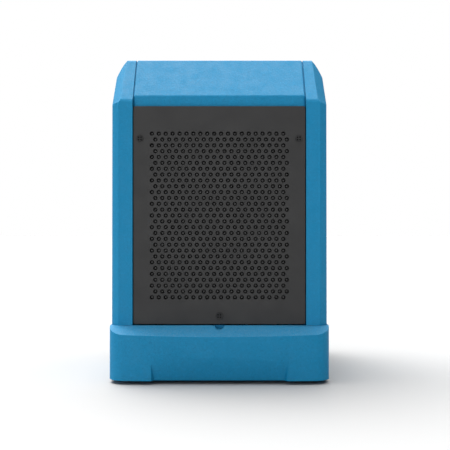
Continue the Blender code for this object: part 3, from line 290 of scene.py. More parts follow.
def filter_material(name="filter_media", colour=(0.022, 0.022, 0.0225)):
    """Non-woven filter cloth: tangled fibres and caught dust."""
    made = Surface(name, colour, 0.95)
    fibres = made.noise(1600, 4, 0.7, (1, 1, 0.25))
    made.tint(fibres, toned(colour, 1.6), 0.5, 0.75, 0.6)
    made.tint(made.noise(1200, 4, 0.7, (0.3, 1, 1)), toned(colour, 0.5), 0.5, 0.75, 0.6)
    made.tint(made.noise(30, 6), toned(colour, 2.5), 0.5, 0.8, 0.3)
    made.bump(fibres, 0.0003, 0.8)
    made.vary_roughness(made.noise(200, 3), 0.04)
    return made.made


def board_material():
    """A circuit board's lacquer with lighter tracks under it."""
    colour = (0.015, 0.13, 0.045)
    made = Surface("board_green", colour, 0.35)
    tracks = made.node("ShaderNodeTexBrick")
    tracks.inputs["Scale"].default_value = 90
    tracks.inputs["Mortar Size"].default_value = 0.03
    made.link(made.coords, tracks.inputs["Vector"])
    made.tint(tracks.outputs["Fac"], (0.05, 0.30, 0.11), 0.2, 0.8, 0.8)
    made.tint(made.noise(200, 4), toned(colour, 1.5), 0.5, 0.8, 0.3)
    made.vary_roughness(made.noise(120, 3), 0.08)
    made.bump(tracks.outputs["Fac"], 0.00005, 0.5)
    return made.made


def display_material():
    """Smoked window, slightly dusty and finely scratched."""
    colour = (0.008, 0.010, 0.012)
    made = Surface("display_glass", colour, 0.12)
    scratches = made.noise(500, 6, 0.8, (1, 0.08, 1))
    made.tint(made.noise(45, 6, 0.7), (0.05, 0.055, 0.06), 0.55, 0.8, 0.4)
    made.vary_roughness(scratches, 0.06)
    made.bump(scratches, 0.00001, 0.4)
    return made.set("Coat Weight", 0.4).made


MATERIALS = {
    "casing_blue": casing_material(),
    "grille_charcoal": powder_coat_material(),
    "dark_plastic": moulded_material("dark_plastic", (0.018, 0.018, 0.020)),
    "light_plastic": moulded_material("light_plastic", (0.44, 0.44, 0.42), 0.45),
    "wheel_plastic": moulded_material("wheel_plastic", (0.028, 0.028, 0.030), 0.48),
    "rubber": rubber_material("rubber"),
    "tyre_rubber": rubber_material("tyre_rubber", (0.020, 0.020, 0.021)),
    "steel": plated_material(),
    "aluminium": aluminium_material(),
    "galvanised": galvanised_material(),
    "copper": copper_material(),
    "compressor_black": enamel_material(),
    "filter_media": filter_material(),
    "board_green": board_material(),
    "display_glass": display_material(),
}


def dress(obj, slot):
    """Gives an object the procedural material of a slot."""
    obj.data.materials.clear()
    obj.data.materials.append(MATERIALS[slot])
    return obj


# ---------------------------------------------------------------- mesh helpers

def from_bmesh(name, bm, smooth_angle=None):
    bmesh.ops.recalc_face_normals(bm, faces=bm.faces)
    mesh = bpy.data.meshes.new(name)
    bm.to_mesh(mesh)
    bm.free()
    obj = bpy.data.objects.new(name, mesh)
    bpy.context.scene.collection.objects.link(obj)
    if smooth_angle is not None:
        mesh.shade_smooth()
        mesh.set_sharp_from_angle(angle=math.radians(smooth_angle))
    return obj


def place(obj, body, slot, *replaced):
    """Puts a piece on its body, in its slot's material, in place of the CAD nodes it stands for."""
    dress(obj, slot)
    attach(obj, body)
    if replaced:
        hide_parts(*replaced)
    return obj


def along(axis):
    """The turn that lays +Z along an axis."""
    return Z_AXIS.rotation_difference(Vector(axis)).to_matrix().to_4x4()


def turned(name, profile, start, axis, segments):
    """A closed profile of (radius, distance along the axis) points, turned about the axis."""
    bm = bmesh.new()
    rings = []
    for radius, distance in profile:
        if radius == 0:
            rings.append([bm.verts.new((0, 0, distance))] * segments)
            continue
        rings.append([
            bm.verts.new((
                radius * math.cos(math.tau * step / segments),
                radius * math.sin(math.tau * step / segments),
                distance,
            ))
            for step in range(segments)
        ])
    for ring, after in zip(rings, rings[1:] + rings[:1]):
        for step in range(segments):
            turn = (step + 1) % segments
            corners = [ring[step], ring[turn], after[turn], after[step]]
            corners = [v for i, v in enumerate(corners) if v not in corners[:i]]
            if len(corners) > 2:
                bm.faces.new(corners)
    bm.transform(Matrix.Translation(Vector(start)) @ along(axis))
    return from_bmesh(name, bm, 35)


def circle_points(centre, radius, steps):
    """Points round a circle that faces along Y."""
    x, y, z = centre
    angles = [math.tau * step / steps for step in range(steps)]
    return [(x + radius * math.cos(angle), y, z + radius * math.sin(angle)) for angle in angles]


def rounded(obj, width, segments=2, angle=30):
    """Rounds an object's sharp edges and keeps its flats flat."""
    step = obj.modifiers.new("rounding", "BEVEL")
    step.width = width
    step.segments = segments
    step.limit_method = "ANGLE"
    step.angle_limit = math.radians(angle)
    step.harden_normals = True
    step.use_clamp_overlap = True
    for face in obj.data.polygons:
        face.use_smooth = True
    return obj


def welded(obj):
    """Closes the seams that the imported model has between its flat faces."""
    step = obj.modifiers.new("weld", "WELD")
    step.merge_threshold = 0.00001
    return obj


def flat_faced(obj):
    """Turns each corner's normals to its largest face, so that wide flats look flat."""
    step = obj.modifiers.new("normals", "WEIGHTED_NORMAL")
    step.keep_sharp = True
    step.weight = 100
    return obj


# ---------------------------------------------------------------- CAD nodes that stay

ROUNDING = {
    "base_tub": 0.0030,
    "side_shell_left": 0.0008,
    "side_shell_right": 0.0008,
    "top_cover": 0.0008,
    "handle_guide_left": 0.0008,
    "handle_guide_right": 0.0008,
    "power_switch": 0.0006,
    "control_plate": 0.0006,
    "rear_panel": 0.0006,
    "filter_frame": 0.0008,
    "drip_tray": 0.0008,
    "pump_reservoir": 0.0010,
    "electrical_tray": 0.0004,
    "circuit_board": 0.0004,
}

SLOT_OF = {piece["node"]: piece["material_slot"] for piece in frame["record"]["subparts"]}


def dress_nodes():
    for name, obj in NODES.items():
        dress(obj, SLOT_OF[name])
        welded(obj)
        rounded(obj, ROUNDING.get(name, 0.0003), 2 if name in ROUNDING else 1)
        if name in ROUNDING:
            flat_faced(obj)
    for name, _, _ in fastener_centres():
        mesh = NODES[name].data
        mesh.materials[0] = fastener_material(min(vertex.co.y for vertex in mesh.vertices))


# ---------------------------------------------------------------- perforated intake grille

HOLE_PITCH_X = 0.0120
HOLE_PITCH_Z = 0.01014
HOLE_RADIUS = 0.0038
HOLE_ROWS = 29
HOLES_PER_ROW = 20
FIELD_CENTRE = 0.1881
SHEET = 0.0015
FASTENER_HOLE = 0.0036
GRILLE_CORNER = 0.003
CORNER_STEPS = 4
FASTENER_HOLE_STEPS = 20
FOLD_RADIUS = 0.0009
MAT_RECESS = 0.0060
NUB_RADIUS = 0.0016
NUB_SIDES = 10
NUB_CLEARANCE = 0.0012
NUB_MARGIN = 0.003
NUB_RINGS = ((1.30, 0.0052), (1.0, 0.0012), (0.62, 0.0003))


def cell_points():
    """Points round one hole's cell, shared with its neighbours also half a pitch along."""
    half_x, half_z = HOLE_PITCH_X / 2, HOLE_PITCH_Z / 2
    top = [(half_x - half_x * step / 2, half_z) for step in range(5)]
    left = [(-half_x, half_z / 3), (-half_x, -half_z / 3)]
    return top + left + [(-x, -z) for x, z in top] + [(-x, -z) for x, z in left]


def hole_centres():
    """Where the holes are: staggered rows about the middle of the perforated field."""
    centre_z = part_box("intake_grille")[0].z + FIELD_CENTRE
    for row in range(HOLE_ROWS):
        shift = HOLE_PITCH_X / 4 if row % 2 else -HOLE_PITCH_X / 4
        z = centre_z + (row - (HOLE_ROWS - 1) / 2) * HOLE_PITCH_Z
        for column in range(HOLES_PER_ROW):
            yield (column - (HOLES_PER_ROW - 1) / 2) * HOLE_PITCH_X + shift, z


def perforated_face(bm, face_y):
    """The field of holes: a ring of quads about each. Returns the edges of the ragged outline."""
    corners = {}

    def corner(x, z):
        key = (round(x, 5), round(z, 5))
        if key not in corners:
            corners[key] = bm.verts.new((x, face_y, z))
        return corners[key]

    outline = cell_points()
    for x, z in hole_centres():
        outer = [corner(x + dx, z + dz) for dx, dz in outline]
        inner = []
        for dx, dz in outline:
            reach = HOLE_RADIUS / math.hypot(dx, dz)
            inner.append(bm.verts.new((x + dx * reach, face_y, z + dz * reach)))
        for step in range(len(outline)):
            after = (step + 1) % len(outline)
            bm.faces.new((outer[step], outer[after], inner[after], inner[step]))
    shared = set(corners.values())
    rim = [edge for edge in bm.edges if len(edge.link_faces) == 1]
    return [edge for edge in rim if all(vertex in shared for vertex in edge.verts)]


def ring_edges(bm, points):
    verts = [bm.verts.new(point) for point in points]
    return [bm.edges.new((verts[i], verts[(i + 1) % len(verts)])) for i in range(len(verts))]


def rounded_outline(low, high, y, radius):
    """A rectangle with rounded corners that faces along Y."""
    points = []
    turns = (
        (high.x - radius, high.z - radius, 0),
        (low.x + radius, high.z - radius, 90),
        (low.x + radius, low.z + radius, 180),
        (high.x - radius, low.z + radius, 270),
    )
    for x, z, start in turns:
        for step in range(CORNER_STEPS + 1):
            angle = math.radians(start + 90 * step / CORNER_STEPS)
            points.append((x + radius * math.cos(angle), y, z + radius * math.sin(angle)))
    return points


def fastener_centres():
    for name in ("grille_fastener_left", "grille_fastener_right", "grille_fastener_bottom"):
        low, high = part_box(name)
        yield name, (low.x + high.x) / 2, (low.z + high.z) / 2


def make_grille():
    """The panel: the perforated field, its plain border and four edges folded back."""
    low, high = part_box("intake_grille")
    bm = bmesh.new()
    loops = perforated_face(bm, low.y)
    border = ring_edges(bm, rounded_outline(low, high, low.y, GRILLE_CORNER))
    loops += border
    for _, x, z in fastener_centres():
        hole = circle_points((x, low.y, z), FASTENER_HOLE, FASTENER_HOLE_STEPS)
        loops += ring_edges(bm, hole)
    bmesh.ops.triangle_fill(bm, use_beauty=True, use_dissolve=False, edges=loops, normal=(0, -1, 0))
    made = bmesh.ops.extrude_edge_only(bm, edges=border)
    flange = [item for item in made["geom"] if isinstance(item, bmesh.types.BMVert)]
    bmesh.ops.translate(bm, verts=flange, vec=(0, high.y - low.y, 0))
    grille = from_bmesh("perforated_grille", bm)
    inwards = grille.modifiers.new("sheet", "SOLIDIFY")
    inwards.thickness = SHEET
    inwards.offset = -1
    edge = grille.modifiers.new("edge", "BEVEL")
    edge.width = FOLD_RADIUS
    edge.segments = 3
    edge.limit_method = "ANGLE"
    edge.angle_limit = math.radians(50)
    place(grille, "grille", "grille_charcoal", "intake_grille")


# ---------------------------------------------------------------- filter mat

def make_filter_mat():
    """The loose fibre mat in front of the pleated filter, a little behind the perforated sheet."""
    low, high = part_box("filter_frame")
    sheet_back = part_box("intake_grille")[0].y + SHEET
    margin, front, back = 0.001, sheet_back + MAT_RECESS, low.y - 0.0004
    wide, tall = high.x - low.x - 2 * margin, high.z - low.z - 2 * margin
    bm = bmesh.new()
    bmesh.ops.create_grid(bm, x_segments=60, y_segments=80, size=0.5)
    for vertex in bm.verts:
        x = low.x + margin + (vertex.co.x + 0.5) * wide
        z = low.z + margin + (vertex.co.y + 0.5) * tall
        puff = math.sin(x * 61.0 + math.sin(z * 47.0))
        puff *= math.sin(z * 53.0 + 1.3 * math.sin(x * 39.0))
        vertex.co = (x, front + 0.0005 + 0.0005 * puff, z)
    mat = from_bmesh("filter_mat", bm, 80)
    body = mat.modifiers.new("sheet", "SOLIDIFY")
    body.thickness = back - front - 0.0012
    body.offset = 1 if mat.data.polygons[0].normal.y > 0 else -1
    place(mat, "filter", "filter_media")


def make_mat_nubs():
    """The mat's raised nubs: one domed tuft behind each hole of the sheet, in a paler copy of the
    mat's fibre that paints the light falling through the hole.
    """
    low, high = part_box("filter_frame")
    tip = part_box("intake_grille")[0].y + SHEET + NUB_CLEARANCE
    bm = bmesh.new()
    for x, z in hole_centres():
        inside_x = low.x + NUB_MARGIN < x < high.x - NUB_MARGIN
        inside_z = low.z + NUB_MARGIN < z < high.z - NUB_MARGIN
        if not (inside_x and inside_z):
            continue
        rings = []
        for reach, depth in NUB_RINGS:
            outline = circle_points((x, tip + depth, z), NUB_RADIUS * reach, NUB_SIDES)
            rings.append([bm.verts.new(point) for point in outline])
        for ring, after in zip(rings, rings[1:]):
            for step in range(NUB_SIDES):
                turn = (step + 1) % NUB_SIDES
                bm.faces.new((ring[step], ring[turn], after[turn], after[step]))
        peak = bm.verts.new((x, tip, z))
        for step in range(NUB_SIDES):
            bm.faces.new((rings[-1][step], rings[-1][(step + 1) % NUB_SIDES], peak))
        bm.faces.new(rings[0][::-1])
    nubs = place(from_bmesh("filter_mat_nubs", bm, 60), "filter", "filter_media")
    # Painted light: a paler copy of the filter cloth on each nub, a lit patch behind every hole
    # against the darker mat.
    nubs.data.materials[0] = filter_material("filter_nub_painted_light", (0.110, 0.110, 0.111))


# ---------------------------------------------------------------- wheels

TREAD_BLOCKS = 40
STEPS_PER_BLOCK = 5
TREAD_GROOVE = 0.0020
SPOKES = 6
WEB_STEPS = 96
WEB_THICKNESS = 0.007
WINDOW = range(4, 12)
WIDE_WINDOW = range(3, 13)
RIB_CENTRE = 0.0290
RIB_SIZE = (0.024, 0.0028, 0.030)
RIB_TAPER = 0.76


def mirrored(points):
    """A section that runs from -X to its middle, with its other half added."""
    return points + [(radius, -x) for radius, x in reversed(points)]


def make_tyre(word):
    """A solid tyre: beads, a ring moulded on each wall, and a tread with grooves across it."""
    low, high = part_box(f"tyre_{word}")
    half, outer = (high.x - low.x) / 2, (high.z - low.z) / 2
    centre = (low + high) / 2
    section = mirrored([
        (outer - 0.0217, -half + 0.0020),
        (outer - 0.0150, -half),
        (outer - 0.0115, -half),
        (outer - 0.0110, -half + 0.0008),
        (outer - 0.0090, -half + 0.0010),
        (outer - 0.0085, -half + 0.0004),
        (outer - 0.0050, -half + 0.0020),
        (outer - 0.0015, -half + 0.0048),
        (outer, -half + 0.0080),
        (outer, -0.0030),
        (outer - 0.0022, -0.0020),
    ])
    turn_count = TREAD_BLOCKS * STEPS_PER_BLOCK
    bm = bmesh.new()
    rings = []
    for step in range(turn_count):
        angle = math.tau * step / turn_count
        ring = []
        for radius, x in section:
            grooved = radius > outer - 0.004 and step % STEPS_PER_BLOCK == 0
            reach = radius - TREAD_GROOVE if grooved else radius
            ring.append(bm.verts.new((x, reach * math.cos(angle), reach * math.sin(angle))))
        rings.append(ring)
    for index, ring in enumerate(rings):
        after = rings[(index + 1) % turn_count]
        for corner in range(len(section)):
            far = (corner + 1) % len(section)
            bm.faces.new((ring[corner], ring[far], after[far], after[corner]))
    bm.transform(Matrix.Translation(centre))
    tyre = from_bmesh(f"treaded_tyre_{word}", bm, 38)
    place(tyre, f"wheel_{word}", "tyre_rubber", f"tyre_{word}")


def wheel_web(word, centre, outer):
    """The wheel's disc, with a window in each sector between two spokes."""
    radii = (0.0140, 0.0190, 0.0215, 0.0390, 0.0420, outer - 0.0054)
    sector = WEB_STEPS // SPOKES
    bm = bmesh.new()
    grid = []
    for radius in radii:
        ring = []
        for step in range(WEB_STEPS):
            angle = math.tau * step / WEB_STEPS
            ring.append(bm.verts.new((0, radius * math.cos(angle), radius * math.sin(angle))))
        grid.append(ring)
    windows = ((), WINDOW, WIDE_WINDOW, WINDOW, ())
    for ring, outside, window in zip(grid, grid[1:], windows):
        for step in range(WEB_STEPS):
            if step % sector in window:
                continue
            after = (step + 1) % WEB_STEPS
            bm.faces.new((ring[step], ring[after], outside[after], outside[step]))
    bm.transform(Matrix.Translation(centre))
    web = from_bmesh(f"wheel_web_{word}", bm)
    sheet = web.modifiers.new("sheet", "SOLIDIFY")
    sheet.thickness = WEB_THICKNESS
    sheet.offset = 0
    return rounded(web, 0.0010, 2, 40)


def wheel_rib(name, centre, outward):
    """A tapered rib: long along its outward direction, thin across, and deep along X."""
    length, thin, deep = RIB_SIZE
    across = outward.cross(X_AXIS).normalized()
    bm = bmesh.new()
    corners = []
    for end, depth in ((-1, deep / 2), (1, deep / 2 * RIB_TAPER)):
        for side_x, side_across in ((-1, -1), (1, -1), (1, 1), (-1, 1)):
            spot = centre + outward * end * length / 2
            spot = spot + X_AXIS * side_x * depth + across * side_across * thin / 2
            corners.append(bm.verts.new(spot))
    ends = ((0, 1, 2, 3), (7, 6, 5, 4))
    sides = ((0, 4, 5, 1), (1, 5, 6, 2), (2, 6, 7, 3), (3, 7, 4, 0))
    for face in ends + sides:
        bm.faces.new([corners[index] for index in face])
    return rounded(from_bmesh(name, bm), 0.0007, 2)


def make_wheel(word):
    """A moulded wheel: a flanged barrel and a hub, joined by a windowed web with ribs across it."""
    low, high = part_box(f"wheel_{word}")
    half, outer = (high.x - low.x) / 2, (high.z - low.z) / 2
    centre = (low + high) / 2
    body = f"wheel_{word}"
    barrel = mirrored([
        (outer, -half + 0.0006),
        (outer - 0.0006, -half),
        (outer - 0.0044, -half),
        (outer - 0.0050, -half + 0.0006),
        (outer - 0.0058, -half + 0.0070),
    ])
    barrel = turned(f"wheel_barrel_{word}", barrel, centre, X_AXIS, 96)
    place(barrel, body, "wheel_plastic", f"wheel_{word}")
    hub = mirrored([
        (0.0061, -half + 0.0003),
        (0.0068, -half),
        (0.0122, -half),
        (0.0130, -half + 0.0008),
        (0.0150, -0.004),
    ])
    place(turned(f"wheel_hub_{word}", hub, centre, X_AXIS, 64), body, "wheel_plastic")
    place(wheel_web(word, centre, outer), body, "wheel_plastic")
    for spoke in range(SPOKES):
        angle = math.tau * spoke / SPOKES
        outward = Vector((0, math.cos(angle), math.sin(angle)))
        rib = wheel_rib(f"wheel_rib_{word}_{spoke + 1}", centre + outward * RIB_CENTRE, outward)
        place(rib, body, "wheel_plastic")


# ---------------------------------------------------------------- handle

HANDLE_BEND = 0.022
BEND_STEPS = 12
GRIP_RIBS = 16
GRIP_PLAIN_END = 0.006
GRIP_RIB_DEPTH = 0.0014


def tube(name, points, radius, resolution=6):
    """A round tube along a line of points, with filled ends."""
    curve = bpy.data.curves.new(name, "CURVE")
    curve.dimensions = "3D"
    curve.bevel_depth = radius
    curve.bevel_resolution = resolution
    curve.use_fill_caps = True
    spline = curve.splines.new("POLY")
    spline.points.add(len(points) - 1)
    for point, spot in zip(spline.points, points):
        point.co = (*spot, 1.0)
    obj = bpy.data.objects.new(name, curve)
    bpy.context.scene.collection.objects.link(obj)
    return obj


def make_handle():
    """A bent tube, and a rubber grip with ribs round it."""
    low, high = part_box("handle_frame")
    radius = (high.y - low.y) / 2
    y = (low.y + high.y) / 2
    reach_x, top_z = high.x - radius, high.z - radius
    path = [(-reach_x, y, low.z)]
    for start, side in ((180, -1), (90, 1)):
        centre_x = side * (reach_x - HANDLE_BEND)
        for step in range(BEND_STEPS + 1):
            angle = math.radians(start - 90 * step / BEND_STEPS)
            z = top_z - HANDLE_BEND + HANDLE_BEND * math.sin(angle)
            path.append((centre_x + HANDLE_BEND * math.cos(angle), y, z))
    path.append((reach_x, y, low.z))
    place(tube("handle_tube", path, radius), "handle", "steel", "handle_frame")
    low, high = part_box("handle_grip")
    outer = (high.z - low.z) / 2
    length = high.x - low.x
    bore = radius + 0.0002
    section = [(bore, 0), (outer - 0.0008, 0), (outer, 0.0010), (outer, 0.0050)]
    pitch = (length - 2 * GRIP_PLAIN_END) / GRIP_RIBS
    for rib in range(GRIP_RIBS):
        start = GRIP_PLAIN_END + rib * pitch
        section += [
            (outer - 0.0004, start),
            (outer - GRIP_RIB_DEPTH, start + pitch * 0.12),
            (outer - GRIP_RIB_DEPTH, start + pitch * 0.38),
            (outer - 0.0004, start + pitch * 0.50),
            (outer, start + pitch * 0.62),
            (outer, start + pitch * 0.90),
        ]
    section += [(outer, length - 0.0010), (outer - 0.0008, length), (bore, length)]
    grip = turned("ribbed_grip", section, (low.x, y, (low.z + high.z) / 2), X_AXIS, 48)
    place(grip, "handle", "rubber", "handle_grip")


# ---------------------------------------------------------------- outlet and fan

COLLAR_FLANGE = 0.008
COLLAR_WALL = 0.0035
GUARD_HUB = 0.018
GUARD_RINGS = 8
GUARD_SPOKES = 6
FAN_BLADES = 7
FAN_HUB = 0.034
FAN_TIP = 0.1085
BLADE_STATIONS = 14
BLADE_ACROSS = 9
BLADE_SWEEP = 14
BLADE_CAMBER = 0.0016
BLADE_FLATTENING = 0.68
BLADE_THICKNESS = 0.0014
ROOT_CHORD, CHORD_GAIN = 0.026, 0.018
ROOT_PITCH, PITCH_FALL = 42, 20


def make_collar():
    """The outlet's duct collar: a flange, a bead part way along and a rolled rim."""
    low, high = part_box("outlet_collar")
    start = Vector(((low.x + high.x) / 2, low.y, (low.z + high.z) / 2))
    reach, flange = high.y - low.y, (high.x - low.x) / 2
    outer = flange - COLLAR_FLANGE
    inner = outer - COLLAR_WALL
    section = [
        (inner, 0.0004),
        (inner + 0.0004, 0),
        (flange - 0.0006, 0),
        (flange, 0.0006),
        (flange, 0.0024),
        (flange - 0.0006, 0.0030),
        (outer + 0.0022, 0.0030),
        (outer + 0.0006, 0.0036),
        (outer, 0.0052),
        (outer, 0.0150),
        (outer + 0.0008, 0.0158),
        (outer + 0.0008, 0.0176),
        (outer, 0.0184),
        (outer, reach - 0.0062),
        (outer + 0.0008, reach - 0.0050),
        (outer + 0.0015, reach - 0.0030),
        (outer + 0.0012, reach - 0.0008),
        (outer + 0.0004, reach),
        (inner + 0.0008, reach),
        (inner, reach - 0.0008),
    ]
    collar = turned("duct_collar", section, start, Y_AXIS, 160)
    place(collar, "chassis", "dark_plastic", "outlet_collar")


def make_guard():
    """A wire guard: rings on spokes that run behind them, round a pressed boss."""
    low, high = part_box("outlet_guard")
    centre, rim, wire = (low + high) / 2, (high.x - low.x) / 2, (high.y - low.y) / 2
    for ring in range(GUARD_RINGS):
        radius = rim - wire - ring * (rim - wire - GUARD_HUB) / GUARD_RINGS
        loop = tube(f"guard_ring_{ring + 1}", circle_points(centre, radius, 96), wire, 3)
        loop.data.splines[0].use_cyclic_u = True
        place(loop, "chassis", "steel", *(["outlet_guard"] if ring == 0 else []))
    behind = centre - Y_AXIS * wire * 1.7
    for spoke in range(GUARD_SPOKES):
        angle = math.tau * (spoke + 0.5) / GUARD_SPOKES
        outward = Vector((math.cos(angle), 0, math.sin(angle)))
        ends = [behind + outward * (GUARD_HUB - 0.004), behind + outward * (rim - 0.0005)]
        place(tube(f"guard_spoke_{spoke + 1}", ends, wire, 3), "chassis", "steel")
    section = [
        (0, -0.0016),
        (GUARD_HUB - 0.0010, -0.0016),
        (GUARD_HUB, -0.0010),
        (GUARD_HUB, 0.0010),
        (GUARD_HUB - 0.0030, 0.0020),
        (0, 0.0028),
    ]
    boss = turned("guard_boss", section, centre - Y_AXIS * 0.0006, Y_AXIS, 64)
    place(boss, "chassis", "steel")


def fan_blade(index, centre):
    """A thin, twisted and swept blade that widens outwards and narrows a little at its tip."""
    bm = bmesh.new()
    rows = []
    for station in range(BLADE_STATIONS):
        share = station / (BLADE_STATIONS - 1)
        radius = FAN_HUB - 0.0015 + share * (FAN_TIP - FAN_HUB)
        pitch = math.radians(ROOT_PITCH - PITCH_FALL * share)
        narrowing = 1 - 0.10 * max(0.0, share - 0.85) / 0.15
        chord = (ROOT_CHORD + CHORD_GAIN * share) * narrowing
        sweep = math.radians(BLADE_SWEEP) * share
        row = []
        for step in range(BLADE_ACROSS):
            spot = 2 * step / (BLADE_ACROSS - 1) - 1
            flat = spot * chord / 2
            camber = BLADE_CAMBER * (1 - spot * spot)
            offset = flat * math.cos(pitch) + camber * math.sin(pitch)
            height = flat * math.sin(pitch) * BLADE_FLATTENING + camber * math.cos(pitch)
            angle = sweep + offset / radius
            row.append(bm.verts.new((radius * math.sin(angle), height, radius * math.cos(angle))))
        rows.append(row)
    for row, after in zip(rows, rows[1:]):
        for step in range(BLADE_ACROSS - 1):
            bm.faces.new((row[step], row[step + 1], after[step + 1], after[step]))
    turn = Matrix.Rotation(math.tau * index / FAN_BLADES, 4, "Y")
    bm.transform(Matrix.Translation(centre) @ turn)
    blade = from_bmesh(f"fan_blade_{index + 1}", bm)
    thick = blade.modifiers.new("sheet", "SOLIDIFY")
    thick.thickness = BLADE_THICKNESS
    thick.offset = 0
    return place(rounded(blade, 0.0005, 2, 50), "fan", "dark_plastic")


def make_fan():
    """The fan: a cupped hub and its blades, on the outlet's axis."""
    low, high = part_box("fan_rotor")
    duct_low, duct_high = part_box("outlet_collar")
    centre = Vector((0.0, (low.y + high.y) / 2, (duct_low.z + duct_high.z) / 2))
    depth = high.y - low.y
    section = [
        (0, -depth / 2),
        (FAN_HUB - 0.0100, -depth / 2),
        (FAN_HUB - 0.0040, -depth / 2 + 0.0012),
        (FAN_HUB - 0.0010, -depth / 2 + 0.0040),
        (FAN_HUB, -depth / 2 + 0.0080),
        (FAN_HUB, depth / 2 - 0.0005),
        (FAN_HUB - 0.0005, depth / 2),
        (FAN_HUB - 0.0028, depth / 2),
        (FAN_HUB - 0.0030, -depth / 2 + 0.0090),
        (0, -depth / 2 + 0.0080),
    ]
    place(turned("fan_hub", section, centre, Y_AXIS, 72), "fan", "dark_plastic", "fan_rotor")
    for index in range(FAN_BLADES):
        fan_blade(index, centre)


# ---------------------------------------------------------------- screws

SCREW_DOME = 0.0022


def carved(obj, *cutters):
    """Cuts the cutters out of an object's mesh and removes them."""
    for cutter in cutters:
        step = obj.modifiers.new("carve", "BOOLEAN")
        step.object = cutter
        step.operation = "DIFFERENCE"
        step.solver = "EXACT"
    graph = bpy.context.evaluated_depsgraph_get()
    mesh = bpy.data.meshes.new_from_object(obj.evaluated_get(graph))
    obj.modifiers.clear()
    obj.data = mesh
    for cutter in cutters:
        bpy.data.objects.remove(cutter, do_unlink=True)
    return obj


def block(name, low, high):
    bm = bmesh.new()
    bmesh.ops.create_cube(bm, size=1.0)
    low, high = Vector(low), Vector(high)
    bmesh.ops.scale(bm, vec=high - low, verts=bm.verts)
    bmesh.ops.translate(bm, vec=(low + high) / 2, verts=bm.verts)
    return from_bmesh(name, bm)


def make_screws():
    """Domed screws with a washer face and a cross recess."""
    for number in range(1, 5):
        node = f"rear_panel_screw_{number}"
        low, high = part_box(node)
        x, z = (low.x + high.x) / 2, (low.z + high.z) / 2
        seat = high.y - SCREW_DOME
        dome = [
            (0, SCREW_DOME),
            (0.0012, 0.00215),
            (0.0022, 0.0018),
            (0.0029, 0.0012),
            (0.0031, 0.0006),
            (0.0040, 0.0005),
            (0.0040, 0),
            (0.0020, 0),
            (0.0020, -0.0070),
            (0, -0.0070),
        ]
        head = turned(f"cross_head_screw_{number}", dome, (x, seat, z), Y_AXIS, 36)
        arm, thin = 0.0017, 0.00035
        bottom, top = seat + 0.0009, high.y + 0.001
        head = carved(
            head,
            block("arm_across", (x - arm, bottom, z - thin), (x + arm, top, z + thin)),
            block("arm_up", (x - thin, bottom, z - arm), (x + thin, top, z + arm)),
        )
        place(head, "chassis", "steel", node)


# ---------------------------------------------------------------- coils

FIN_PITCH = 0.0022
FIN_THICKNESS = 0.0003
END_PLATE = 0.0012
TUBE_ROWS = 6
ROW_PITCH = 0.041
FIRST_ROW = 0.030
TUBE_RADIUS = 0.0045
TUBE_DEPTHS = (0.27, 0.73)
RETURN_BEND_RADIUS = 0.0036
RETURN_BEND_REACH = 0.0125
RETURN_BEND_STEPS = 12


def make_coil(node):
    """Thin fins on copper tubes, with the tubes' return bends at the left end."""
    low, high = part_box(node)
    corner = (low.x + FIN_THICKNESS, high.y, high.z)
    fin = block(f"{node}_fins", (low.x, low.y, low.z), corner)
    repeat = fin.modifiers.new("fins", "ARRAY")
    repeat.use_relative_offset = False
    repeat.use_constant_offset = True
    repeat.constant_offset_displace = (FIN_PITCH, 0, 0)
    repeat.count = int((high.x - low.x) / FIN_PITCH)
    place(fin, "chassis", "aluminium", node)
    for number, x in enumerate((low.x, high.x - END_PLATE), 1):
        corner = (x + END_PLATE, high.y, high.z)
        plate = block(f"{node}_end_plate_{number}", (x, low.y, low.z), corner)
        place(rounded(plate, 0.0003, 1), "chassis", "galvanised")
    near, far = (low.y + depth * (high.y - low.y) for depth in TUBE_DEPTHS)
    middle, reach = (near + far) / 2, (far - near) / 2
    for row in range(TUBE_ROWS):
        z = low.z + FIRST_ROW + row * ROW_PITCH
        for depth, y in zip(TUBE_DEPTHS, (near, far)):
            ends = [(low.x - 0.001, y, z), (high.x + 0.0002, y, z)]
            name = f"{node}_tube_{row + 1}_{round(depth * 100)}"
            place(tube(name, ends, TUBE_RADIUS, 3), "chassis", "copper")
        bend = []
        for step in range(RETURN_BEND_STEPS + 1):
            angle = math.pi * step / RETURN_BEND_STEPS
            x = low.x - RETURN_BEND_REACH * math.sin(angle)
            bend.append((x, middle - reach * math.cos(angle), z))
        name = f"{node}_return_bend_{row + 1}"
        place(tube(name, bend, RETURN_BEND_RADIUS, 3), "chassis", "copper")


# ---------------------------------------------------------------- stage

CAMERA_DISTANCE = 1.515
CAMERA_X = 0.0098
CAMERA_Z = 0.2715
LENS = 70.0

SKY_LEAN = (-0.08, 0.22, 1.0)
SKY_FAINT = 0.10
SKY_STRONG = 2.4
SKY_RAMP = (0.45, 0.95)
KEY_FROM = (-0.30, 0.36, 0.88)
KEY_STRENGTH = 3.9
KEY_WIDTH = 50
FILL_FROM = (-0.34, -1.0, 0.12)
FILL_STRENGTH = 1.2
FILL_WIDTH = 60


def make_floor():
    bm = bmesh.new()
    bmesh.ops.create_grid(bm, x_segments=1, y_segments=1, size=20.0)
    floor = from_bmesh("floor", bm)
    pale = Surface("floor_pale", (0.43, 0.43, 0.43), 0.7)
    pale.vary_roughness(pale.noise(5, 3), 0.03)
    pale.set("Specular IOR Level", 0.2)
    floor.data.materials.append(pale.made)


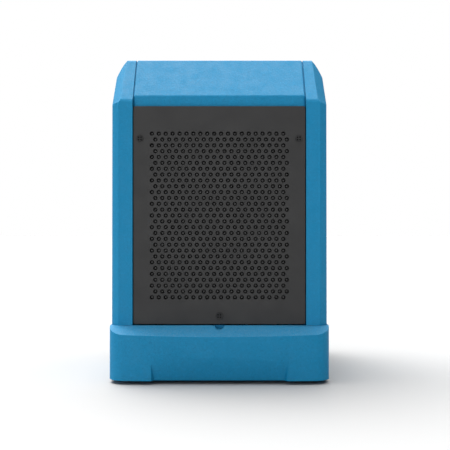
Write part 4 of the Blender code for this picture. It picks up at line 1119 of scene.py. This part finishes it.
def make_sky():
    """Soft light that is strongest from above, behind and the left, in front of plain white."""
    world = bpy.data.worlds.new("studio")
    world.use_nodes = True
    tree = world.node_tree
    direction = tree.nodes.new("ShaderNodeTexCoord").outputs["Generated"]
    lean = tree.nodes.new("ShaderNodeVectorMath")
    lean.operation = "DOT_PRODUCT"
    lean.inputs[1].default_value = SKY_LEAN
    tree.links.new(direction, lean.inputs[0])
    strength = tree.nodes.new("ShaderNodeMapRange")
    strength.interpolation_type = "SMOOTHSTEP"
    strength.inputs["From Min"].default_value = SKY_RAMP[0]
    strength.inputs["From Max"].default_value = SKY_RAMP[1]
    strength.inputs["To Min"].default_value = SKY_FAINT
    strength.inputs["To Max"].default_value = SKY_STRONG
    tree.links.new(lean.outputs["Value"], strength.inputs["Value"])
    seen = tree.nodes.new("ShaderNodeLightPath").outputs["Is Camera Ray"]
    shown = tree.nodes.new("ShaderNodeMix")
    tree.links.new(seen, shown.inputs["Factor"])
    tree.links.new(strength.outputs["Result"], shown.inputs["A"])
    shown.inputs["B"].default_value = 1.0
    tree.links.new(shown.outputs["Result"], tree.nodes["Background"].inputs["Strength"])
    tree.nodes["Background"].inputs["Color"].default_value = (1.0, 1.0, 1.0, 1.0)
    bpy.context.scene.world = world


def make_lamp(name, direction, strength, width):
    """A broad, distant lamp that shines from a direction."""
    light = bpy.data.lights.new(name, "SUN")
    light.energy = strength
    light.angle = math.radians(width)
    lamp = bpy.data.objects.new(name, light)
    bpy.context.scene.collection.objects.link(lamp)
    lamp.location = Vector(direction) * 3
    lamp.rotation_euler = (-Vector(direction)).to_track_quat("-Z", "Y").to_euler()


def make_camera():
    data = bpy.data.cameras.new("camera")
    data.lens = LENS
    data.sensor_width = 36.0
    camera = bpy.data.objects.new("camera", data)
    bpy.context.scene.collection.objects.link(camera)
    front_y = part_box("side_shell_left")[0].y
    camera.location = (CAMERA_X, front_y - CAMERA_DISTANCE, CAMERA_Z)
    camera.rotation_euler = (math.radians(90), 0, 0)
    bpy.context.scene.camera = camera


# ---------------------------------------------------------------- build

dress_nodes()
make_grille()
make_filter_mat()
make_mat_nubs()
for word in ("left", "right"):
    make_tyre(word)
    make_wheel(word)
make_handle()
make_collar()
make_guard()
make_fan()
make_screws()
make_coil("evaporator_coil")
make_coil("condenser_coil")
make_floor()
make_sky()
make_lamp("key", KEY_FROM, KEY_STRENGTH, KEY_WIDTH)
make_lamp("fill", FILL_FROM, FILL_STRENGTH, FILL_WIDTH)
make_camera()
bpy.context.scene.view_settings.view_transform = "Standard"
